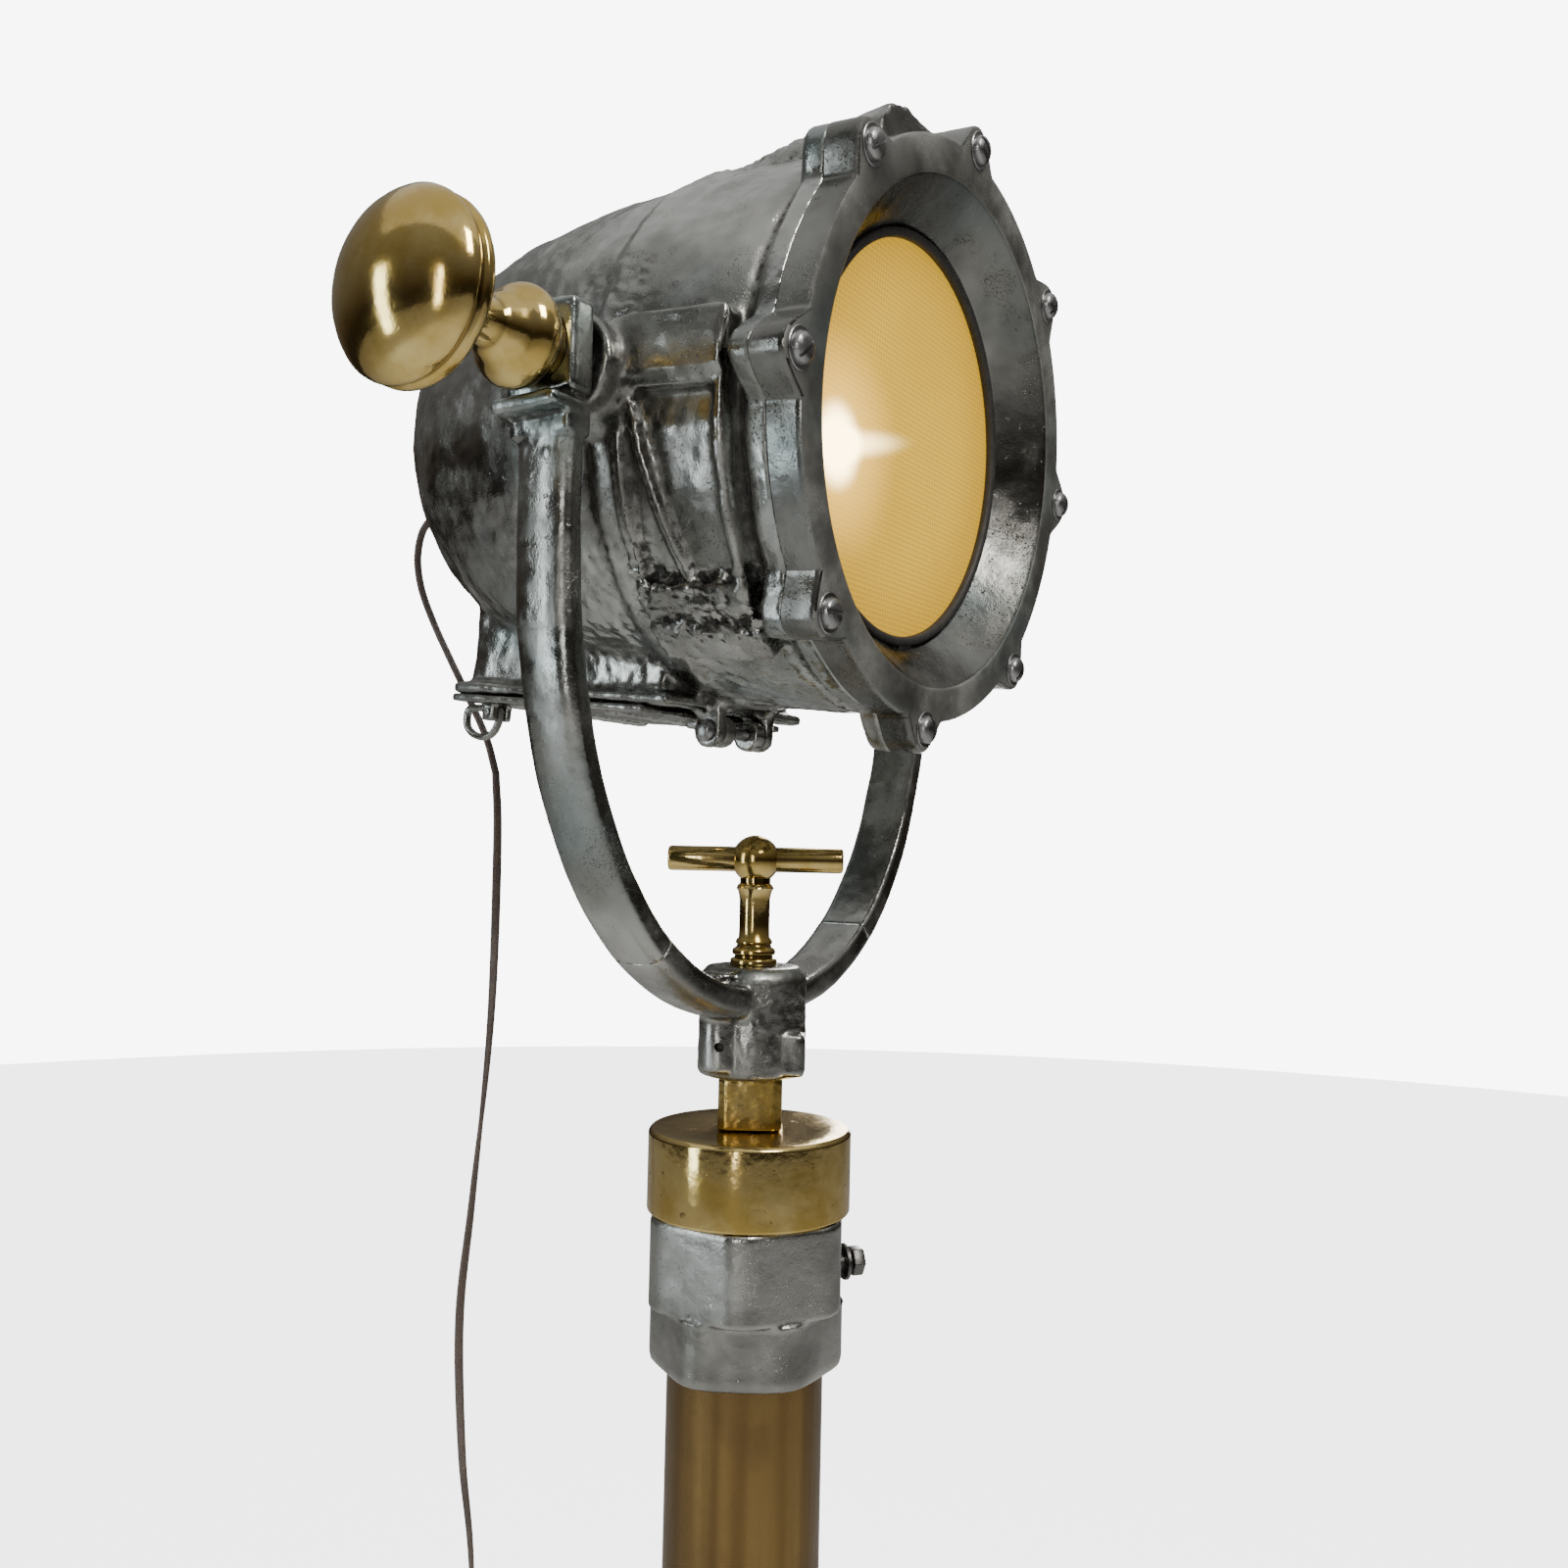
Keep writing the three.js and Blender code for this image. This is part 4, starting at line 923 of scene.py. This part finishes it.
def makeCatch():
    # the first two spans lead the curve in, so that the ring closes smoothly
    eye = [(-2, 1.4), (4, 2.0), (12, 2.0), (19.6, 1.0), (21.0, -4), (19.4, -9), (14, -12.4), (7, -13),
           (1.4, -10.4), (-1.6, -5)]
    around = smoothLine([(0, y, z) for y, z in eye + eye[:3]], 1.4)[:-1]
    start = next(k for k, p in enumerate(around) if (p - Vector((0, *eye[2]))).length < 0.01)
    section = [(1.9 * math.cos(a), 2.3 * math.sin(a)) for a in (2 * math.pi * i / 14 for i in range(14))]
    catch = swept("coverCatch", around[start:], section, (1, 0, 0), looped=True)
    unite(catch, rod("pivot", 2, (-8, 0, 0), (8, 0, 0), 24, 0.5))
    catch.data.transform(Matrix.Translation(coverFacts["catch"]))
    place(catch, headPlace, "catch", castFork, ["cover_catch"], 60)


makeHead()
print("head cast")
makeBezel()
makeBezelScrews()
makeGlass()
makeHeadFittings()
makeCover()
makeCatch()
print("head fitted")


# fork, its knob, its nut and the T-handle

forkFacts = {"half": 165, "thick": 12.5, "wide": 29, "curveZ": -70, "drop": 213, "baseThick": 15.5, "split": 95,
             "power": 2.2}


def forkPoint(angle):
    f = forkFacts
    c, s = math.cos(angle), math.sin(angle)
    x = f["half"] * math.copysign(abs(c) ** (2 / f["power"]), c)
    return Vector((x, 0, f["curveZ"] - f["drop"] * max(s, 0) ** (2 / f["power"])))


def forkSection(thick):
    # crowned outside, flat edges and a flatter inside; out is positive
    half = forkFacts["wide"] / 2
    crown = [(-4.6, half), (-2.6, half - 1.8), (-1.1, half - 4.8), (-0.2, half - 9.5), (0, 0)]
    inside = [(-thick + 2.2, half), (-thick + 0.6, half - 0.6), (-thick, half - 2.2), (-thick, 0)]
    upper = crown[::-1] + inside
    return upper[1:-1] + [(-thick, 0)] + [(a, -b) for a, b in upper[1:-1][::-1]] + [(0, 0)]


# where the arms end and the base begins
splitAngle = math.acos((forkFacts["split"] / forkFacts["half"]) ** (forkFacts["power"] / 2))


def forkBar(name, points):
    # the bar grows thicker toward the bottom of the fork
    rings = []
    for k, point in enumerate(points):
        before, after = points[max(k - 1, 0)], points[min(k + 1, len(points) - 1)]
        ahead = (after - before).normalized()
        out = Vector((ahead.z, 0, -ahead.x))
        if out.dot(Vector((point.x, 0, point.z + 110))) < 0:
            out = -out
        down = min(1, max(0, (forkFacts["curveZ"] - point.z) / forkFacts["drop"]))
        thick = forkFacts["thick"] + (forkFacts["baseThick"] - forkFacts["thick"]) * down
        rings.append([point + out * s[0] + Vector((0, s[1], 0)) for s in forkSection(thick)])
    return lofted(name, rings)


def makeArm(side):
    word = "left" if side < 0 else "right"
    curve = [forkPoint(splitAngle * i / 70) for i in range(71)]
    straight = [Vector((forkFacts["half"], 0, 20 - 90 * i / 24)) for i in range(24)]
    arm = forkBar("forkArm" + word.title(), straight + curve)
    parts = [block("end", (13.5, 36, 38), (159.5, 0, 0), 2.2),
             block("ledge", (24, 34, 6), (164, 0, -24.6), 1.6),
             block("ledgeRoot", (15, 32, 12), (158, 0, -30), 2)]
    unite(arm, *parts)
    cast(arm, 1.2, 3, [((163, 0, -30), (12, 16, 14), 0.35)], 0.35)
    carve(arm, rod("bore", 8.3, (140, 0, 0), (180, 0, 0), 40))
    if side < 0:
        arm.data.transform(Matrix.Diagonal((-1, 1, 1, 1)))
        arm.data.flip_normals()
    place(arm, forkPlace, "fork", castFork, ["fork_arm_" + word], 50)


hubFacts = {"low": -310.3, "high": -257, "radius": 26.5, "overlap": 0.002}


def makeForkBase():
    f = hubFacts
    first = splitAngle - f["overlap"]
    line = [forkPoint(first + (math.pi - 2 * first) * i / 110) for i in range(111)]
    bar = forkBar("forkBase", line)
    r = f["radius"]
    hub = turned("hub", eased([(0, f["low"]), (r - 1.5, f["low"]), (r, f["low"] + 1.5), (r, f["high"] - 5),
                               (r - 4, f["high"]), (0, f["high"])], 2), "Z", 96)
    facing = math.radians(standing["neckTurn"])
    toward = Vector((-math.cos(facing), -math.sin(facing), 0))
    right = Vector((-toward.y, toward.x, 0)) * -1
    at = toward * 17.5 + right * 15
    boss = rod("boss", 10, (at.x, at.y, f["low"] + 4), (at.x, at.y, f["high"] - 2), 40, 1.5)
    step = toward * 8 - right * 9
    foot = block("foot", (30, 34, 21), (step.x, step.y, f["low"] + 12), 2.5)
    aside = Matrix.Translation((step.x, step.y, 0))
    foot.data.transform(aside @ Matrix.Rotation(facing, 4, "Z") @ Matrix.Translation((-step.x, -step.y, 0)))
    unite(bar, hub, boss, foot)
    cast(bar, 1.15, 4, [((0, 0, -285), (26, 26, 22), 0.22)], 0.3)
    hole = at + toward * 4
    eye = rod("eye", 2.3, hole + Vector((0, 0, -294)), hole + toward * 14 + Vector((0, 0, -294)), 24)
    carve(bar, rod("bore", 12.3, (0, 0, -320), (0, 0, -277), 48),
          rod("bore", 5.8, (0, 0, -300), (0, 0, -250), 40), eye)
    place(bar, forkPlace, "fork", castFork, ["fork_base"], 50)


knobFacts = {"start": 166.6, "ball": 21, "ballAt": 179}


def makeKnob():
    k = knobFacts
    ball = [(15, k["start"])] + [(k["ball"] * math.sin(a), k["ballAt"] - k["ball"] * math.cos(a) * 0.62)
                                 for a in (math.radians(55 + 9 * i) for i in range(10))]
    neck = [(12, 193.5), (9.6, 195), (9.2, 199), (8.6, 204), (9.4, 210), (11.4, 214.5)]
    # the back ends in a rim with a seam groove
    back = [(12.8, 216.5), (19, 220), (26, 223.2), (31.5, 225.4), (34.6, 226.6), (36.0, 227.6), (36.3, 228.6),
            (36.3, 230.4), (35.9, 231.2), (34.5, 231.8), (34.0, 232.7), (34.7, 233.5), (36.0, 234.1),
            (36.4, 235.4), (36.2, 237.0)]
    front = [(34.4, 239.6), (31.6, 242.6), (28, 245.3), (23.6, 247.8), (18.4, 250), (12.6, 251.8), (6.4, 253),
             (0, 253.5)]
    bore = [(0, 191), (8.3, 191), (8.3, k["start"])]
    knob = turned("clampKnob", ball + neck + back + front + bore, "X", 128)
    knob.data.transform(Matrix.Rotation(math.pi, 4, "Z"))
    toward = Vector((-0.25, -0.86, -0.42)).normalized()
    centre = Vector((-k["ballAt"], 0, 0))
    carve(knob, rod("setHole", 2.6, centre + toward * 12, centre + toward * 30, 24))
    place(knob, forkPlace, "knob", polishedBrass, ["clamp_knob"], 60)


def makeNut():
    start = knobFacts["start"]
    nut = turned("trunnionNut", [(0, start), (13.2, start), (14, start + 1), (14, start + 9.4),
                                 (11.4, start + 10.4), (10.6, start + 13), (8.6, start + 14), (0, start + 14)],
                 "X", 6)
    bevelled(nut, 0.6, 3)
    carve(nut, rod("bore", 8.3, (150, 0, 0), (200, 0, 0), 40))
    place(nut, forkPlace, "fork", screwSteel, ["trunnion_nut"], 35)


def makeHandle():
    base, top = 1343.3, 1395
    profile = [(0, 1323), (5.5, 1323), (5.5, base), (11.4, base), (11.6, base + 0.6), (11.6, base + 2.4),
               (11.0, base + 3), (9.6, base + 3.4), (9.4, base + 4.4), (10.6, base + 5.2), (10.8, base + 6.6),
               (10.2, base + 7.8), (8.8, base + 8.6), (8.4, base + 9.8), (9.2, base + 10.6), (9.0, base + 11.8),
               (7.7, base + 13.4), (7.5, base + 20), (7.6, base + 32), (8.4, base + 36), (9.4, base + 37.4),
               (8.8, base + 39), (7.6, base + 40), (7.6, top - 6), (0, top - 6)]
    stem = turned("tHandle", profile, "Z", 72)
    dome = [(12 * math.cos(math.radians(a)), top + 12 * math.sin(math.radians(a))) for a in range(-84, 90, 7)]
    ball = turned("ball", [(0, top - 12)] + dome + [(0, top + 12)], "Z", 72)
    bar = rod("bar", 6.2, (-43.5, 0, top), (43.5, 0, top), 48, 1.8)
    unite(stem, ball, bar)
    where = mastPlace @ Matrix.Rotation(math.radians(standing["handleTurn"]), 4, "Z")
    place(stem, where, "handle", polishedBrass, ["t_handle"], 45)


makeArm(-1)
makeArm(1)
makeForkBase()
makeKnob()
makeNut()
makeHandle()
print("fork made")


# column

columnFacts = {"radius": 38, "bore": 38.3, "bottom": 570, "collarLow": 1150.5, "step": 1182, "cap": 1224,
               "capTop": 1264, "neckTop": 1289.4, "neck": 31, "spigotTop": 1322}


def facedRing(flat, corner, turn, z, count=180):
    # circle with six soft flats, as a ring of points at height z; sharp sets how crisp the corners are
    sharp, ring = 1.6, []
    for i in range(count):
        a = math.radians(360 * i / count)
        off = math.radians((math.degrees(a) - turn + 30) % 60 - 30)
        face = flat / math.cos(off)
        r = -math.log(math.exp(-sharp * face) + math.exp(-sharp * corner)) / sharp
        ring.append(Vector((r * math.cos(a), r * math.sin(a), z)))
    return ring


def makeCollar():
    c = columnFacts
    low, step, high = c["collarLow"], c["step"], c["cap"]
    # levels as [flat, corner, turn, height]
    levels = [(41.4, 43.4, 30, low), (42.4, 46.2, 30, low + 1.2), (43, 47, 30, low + 4.5),
              (43, 47, 30, step - 2.5), (43.3, 47.6, 30, step - 0.9), (45.4, 49.4, 0, step - 0.6),
              (46, 50, 0, step + 0.6), (46, 50, 0, high - 1.4), (45.2, 49.2, 0, high)]
    rings = [facedRing(*level) for level in levels]
    turns = [math.radians(2 * i) for i in range(180)]
    bore = [[Vector((c["bore"] * math.cos(a), c["bore"] * math.sin(a), z)) for a in turns] for z in (high, low)]
    collar = lofted("columnCollar", rings + bore, closed=True)
    aim = math.radians(standing["boltTurn"])
    way = Vector((math.cos(aim), math.sin(aim), 0))
    z = Vector((0, 0, standing["boltZ"]))
    carve(collar, rod("hole", 4.3, z + way * 30, z + way * 60, 32))
    fused(collar, 1.0, 2)
    place(collar, mastPlace, "column", castCollar, ["column_collar"], 45)
    head = turned("head", [(0, 54.5), (7.2, 54.5), (7.5, 55), (7.5, 60), (6.3, 61), (0, 61.2)], "X", 6)
    bevelled(head, 0.4, 2)
    shank = turned("collarBolt", eased([(0, 38.6), (3.2, 38.6), (4, 39.6), (4, 55), (0, 55)], 0.3, 2), "X", 32)
    washer = turned("washer", [(3, 50.6), (8.6, 50.6), (8.9, 51.2), (8.9, 52.2), (3, 52.4)], "X", 32,
                    closed=True)
    unite(shank, head, washer)
    where = mastPlace @ Matrix.Translation((0, 0, standing["boltZ"])) @ Matrix.Rotation(aim, 4, "Z")
    place(shank, where, "bolt", darkSteel, ["collar_bolt"], 35)


def makeColumn():
    c = columnFacts
    low, top, r = c["bottom"], 1255.7, c["radius"]
    tube = turned("columnTube", [(35.5, low + 0.6), (36, low), (37.4, low), (r, low + 0.6), (r, 640), (r, 900),
                                 (r, 1150), (r, top), (35.5, top)], "Z", 128, closed=True)
    place(tube, mastPlace, "column", satinBrass, ["column_tube"], 45)
    cap = turned("columnCap", eased([(8.4, 1256), (38.5, 1256), (38.5, 1224.3), (48.9, 1224.3), (49.7, 1225.2),
                                     (49.7, 1262), (48.2, 1263.8), (40, 1264), (8.4, 1264), (8.4, 1256)],
                                    0.7, 3)[:-1], "Z", 160, closed=True)
    place(cap, mastPlace, "column", agedBrass, ["column_cap"], 45)
    half, chamfer = c["neck"] / 2, 3.6
    rings = []
    for inset, z in [(0.7, c["capTop"] + 0.3), (0, c["capTop"] + 1), (0, 1276), (0, c["neckTop"] - 1),
                     (0.8, c["neckTop"])]:
        h, m = half - inset, half - chamfer
        rings.append([Vector((x, y, z)) for x, y in ((h, m), (m, h), (-m, h), (-h, m), (-h, -m), (-m, -h),
                                                     (m, -h), (h, -m))])
    neck = lofted("neckPintle", rings)
    spigot = rod("spigot", 12, (0, 0, c["neckTop"] - 1), (0, 0, c["spigotTop"]), 48, 1)
    unite(neck, spigot, rod("root", 8, (0, 0, 1240), (0, 0, c["capTop"] + 1), 40, 1))
    fused(neck, 0.7, 2)
    turn = Matrix.Rotation(math.radians(standing["neckTurn"]), 4, "Z")
    hammered = makeBrass("hammered brass", 0.14, 0.5, 2.2, 21.0)
    place(neck, mastPlace @ turn, "column", hammered, ["neck_pintle"], 45)


makeCollar()
makeColumn()
print("column made")


# tripod

tripod = {"reach": 420, "pivotR": 78, "pivotZ": 620, "footZ": 22, "tubeR": 17, "legs": 3, "plateIn": 8.3,
          "plateOut": 17, "padHigh": 8}
legLean = math.atan2(tripod["reach"] - tripod["pivotR"], tripod["pivotZ"] - tripod["footZ"])
legLong = math.hypot(tripod["reach"] - tripod["pivotR"], tripod["pivotZ"] - tripod["footZ"])


def along(distance):
    # place on a leg's centre line, from its pivot down
    return Vector((tripod["pivotR"] + distance * math.sin(legLean), 0,
                   tripod["pivotZ"] - distance * math.cos(legLean)))


def legTurn(i):
    return Matrix.Rotation(math.radians(-90 + 120 * i), 4, "Z")


def makeTripodHub():
    low, high, r, z = 560, 652, tripod["pivotR"], tripod["pivotZ"]
    hub = turned("tripodHub", eased([(0, low), (46, low), (51, low + 5), (51, 590), (49.6, 592), (49.6, 634),
                                     (51, 636), (51, 641), (44, high), (0, high)], 2), "Z", 128)
    parts, holes = [], [rod("bore", columnFacts["bore"], (0, 0, 569.7), (0, 0, 660), 96)]
    for i in range(tripod["legs"]):
        for side in (-1, 1):
            middle = side * (tripod["plateIn"] + tripod["plateOut"]) / 2
            made = [block("plate", (r - 42, 8.7, 44), ((r + 42) / 2, middle, z), 1.2),
                    rod("cheek", 22, (r, side * tripod["plateIn"], z), (r, side * tripod["plateOut"], z), 48, 1.2)]
            for part in made:
                part.data.transform(legTurn(i))
            parts += made
        hole = rod("hole", 5.3, (r, -30, z), (r, 30, z), 32)
        hole.data.transform(legTurn(i))
        holes.append(hole)
    unite(hub, *parts)
    cast(hub, 1.4, 3, (), 0.4)
    carve(hub, *holes)
    place(hub, mastPlace, "column", castCollar, ["tripod_hub"], 50)


def makeLeg(i):
    r, z, tube = tripod["pivotR"], tripod["pivotZ"], tripod["tubeR"]
    number, body = str(i + 1), f"leg_{i + 1}"
    where = mastPlace @ legTurn(i)
    knuckle = rod("legKnuckle" + number, 21, along(42), along(90), 64, 2)
    tongue = block("tongue", (30, 16, 58), (0, 0, -29), 2)
    tongue.data.transform(Matrix.Translation((r, 0, z)) @ Matrix.Rotation(-legLean, 4, "Y"))
    unite(knuckle, tongue, rod("eye", 15, (r, -8, z), (r, 8, z), 48, 1))
    cast(knuckle, 1.2, 3, (), 0.3)
    carve(knuckle, rod("socket", tube + 0.3, along(56), along(95), 64),
          rod("hole", 5.3, (r, -20, z), (r, 20, z), 32))
    place(knuckle, where, body, castCollar, ["leg_knuckle_" + number], 50)
    leg = rod("legTube" + number, tube, along(56.4), along(legLong - 40), 96, 0.5)
    carve(leg, rod("bore", tube - 2, along(50), along(legLong), 64))
    sheen = makeSatinBrass("leg brass " + number, legLean, legTurn(i).to_euler().z)
    place(leg, where, body, sheen, ["leg_tube_" + number], 45)
    reach, high = tripod["reach"], tripod["padHigh"]
    foot = rod("footSocket" + number, 20.5, along(legLong - 72), along(legLong - 6), 64, 2)
    shoe = turned("shoe", eased([(0, high + 0.3), (21, high + 0.3), (21, high + 9), (14, high + 20),
                                 (0, high + 20)], 2), "Z", 64)
    shoe.data.transform(Matrix.Translation((reach, 0, 0)))
    unite(foot, shoe)
    cast(foot, 1.2, 3, (), 0.3)
    carve(foot, block("under", (80, 80, 40), (reach, 0, high + 0.3 - 20), 0.2),
          rod("socket", tube + 0.3, along(legLong - 80), along(legLong - 39.7), 64))
    place(foot, where, body, castCollar, ["foot_socket_" + number], 50)
    pad = turned("footPad" + number, eased([(0, 0), (22.6, 0), (24, 1.4), (23.6, 3), (22.8, 3.4), (22.8, 4.2),
                                            (23, 4.6), (22, high), (0, high)], 0.5, 2), "Z", 72)
    pad.data.transform(Matrix.Translation((reach, 0, 0)))
    place(pad, where, body, blackRubber, ["foot_pad_" + number], 45)
    bolt = rod("pivotBolt" + number, 5, (r, -24, z), (r, 24, z), 32, 0.6)
    for side in (-1, 1):
        head = turned("head", [(0, 17.3), (8.6, 17.3), (9, 17.8), (9, 22.6), (7.6, 24), (0, 24)], "Z", 6)
        head.data.transform(Matrix.Translation((r, 0, z)) @ Matrix.Rotation(-side * math.pi / 2, 4, "X"))
        unite(bolt, bevelled(head, 0.4, 2))
    place(bolt, where, "column", darkSteel, ["pivot_bolt_" + number], 35)


makeTripodHub()
for leg in range(tripod["legs"]):
    makeLeg(leg)
print("tripod made")


# what is kept from the frame, inside the head and the cap

keptLooks = {"glass_retainer": screwSteel, "lamp_holder": ceramicWhite, "holder_bracket": screwSteel,
             "pintle_nut": darkSteel}
for node, material in keptLooks.items():
    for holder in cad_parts[node].material_slots:
        holder.material = material


# floor and light

# lamps as name, place, aim, size, power and colour; room as stops from the horizon up
studio = {"floor": (0.86, 0.86, 0.85), "floorShade": (0.82, 0.82, 0.81), "floorRadius": 9.0, "floorZ": -0.0006,
          "floorGlow": 6.5, "glowShare": 0.6, "sky": (1.0, 1.0, 1.0), "skyPower": 8.0, "roomPower": 0.9,
          "lamps": [("key", (-0.8, -1.5, 3.2), (0, 0.1, 1.5), (0.7, 0.9), 46, (1, 0.97, 0.92)),
                    ("fill", (-2.4, 1.5, 1.6), (0, 0.1, 1.4), (0.45, 1.9), 22, (0.86, 0.96, 1.0)),
                    ("front", (-3.0, -0.9, 1.6), (0, 0.1, 1.5), (0.3, 1.6), 14, (1, 0.98, 0.95)),
                    ("top", (0, 0, 4.6), (0, 0, 0), (5.5, 5.5), 42, (1, 1, 1)),
                    ("rim", (1.9, 0.9, 2.0), (0, 0.1, 1.5), (0.4, 1.9), 22, (1, 0.98, 0.95))],
          "room": [(0.0, (0.03, 0.025, 0.02)), (0.12, (0.08, 0.066, 0.052)), (0.35, (0.18, 0.175, 0.165)),
                   (0.7, (0.33, 0.33, 0.32)), (1.0, (0.42, 0.42, 0.41))]}


def makeFloor():
    floor = turned("floor", [(0, studio["floorZ"]), (studio["floorRadius"], studio["floorZ"])], "Z", 96)
    floor.data.flip_normals()
    look = Look("pale floor")
    speck = look.noise(0.4, 2, 0.5)
    matte = look.principled({"Base Color": look.mix(speck.ramp(0.2, 0.8) * 0.3, colour(*studio["floor"]),
                                                    colour(*studio["floorShade"])),
                             "Roughness": speck.ramp(0.3, 0.7, 0.7, 0.8)})
    pale = look.node("ShaderNodeEmission", {}, {"Color": colour(*studio["sky"]),
                                                "Strength": studio["floorGlow"]})
    seen = look.node("ShaderNodeLightPath", {}, {}, "Is Camera Ray")
    surface = look.node("ShaderNodeMixShader", {}, {0: seen * studio["glowShare"], 1: matte, 2: pale})
    floor.data.materials.append(look.cover(surface))


def makeLamps():
    for name, where, aim, size, power, tone in studio["lamps"]:
        data = bpy.data.lights.new(name, "AREA")
        data.shape, data.size, data.size_y = "RECTANGLE", *size
        data.energy, data.color = power, tone
        lamp = bpy.data.objects.new(name, data)
        facing = (Vector(aim) - Vector(where)).to_track_quat("-Z", "Y")
        lamp.matrix_world = Matrix.Translation(where) @ facing.to_matrix().to_4x4()
        bpy.context.scene.collection.objects.link(lamp)


def makeRoom():
    # white behind the lamp, and a dim room for the metal to reflect
    world = bpy.data.worlds.new("studio")
    bpy.context.scene.world = world
    world.use_nodes = True
    nodes, links = world.node_tree.nodes, world.node_tree.links
    nodes.clear()
    out, mix = nodes.new("ShaderNodeOutputWorld"), nodes.new("ShaderNodeMixShader")
    pale, room = nodes.new("ShaderNodeBackground"), nodes.new("ShaderNodeBackground")
    pale.inputs["Color"].default_value = colour(*studio["sky"])
    pale.inputs["Strength"].default_value = studio["skyPower"]
    ray, way = nodes.new("ShaderNodeLightPath"), nodes.new("ShaderNodeTexCoord")
    split, ramp = nodes.new("ShaderNodeSeparateXYZ"), nodes.new("ShaderNodeValToRGB")
    links.new(way.outputs["Generated"], split.inputs[0])
    links.new(split.outputs["Z"], ramp.inputs["Fac"])
    for k, (at, tone) in enumerate(studio["room"]):
        stop = ramp.color_ramp.elements[k] if k < 2 else ramp.color_ramp.elements.new(at)
        stop.position, stop.color = at, colour(*tone)
    links.new(ramp.outputs["Color"], room.inputs["Color"])
    room.inputs["Strength"].default_value = studio["roomPower"]
    links.new(ray.outputs["Is Camera Ray"], mix.inputs["Fac"])
    links.new(room.outputs[0], mix.inputs[1])
    links.new(pale.outputs[0], mix.inputs[2])
    links.new(mix.outputs[0], out.inputs["Surface"])


makeFloor()
makeLamps()
makeRoom()
print("studio lit,", len(allPieces), "pieces")
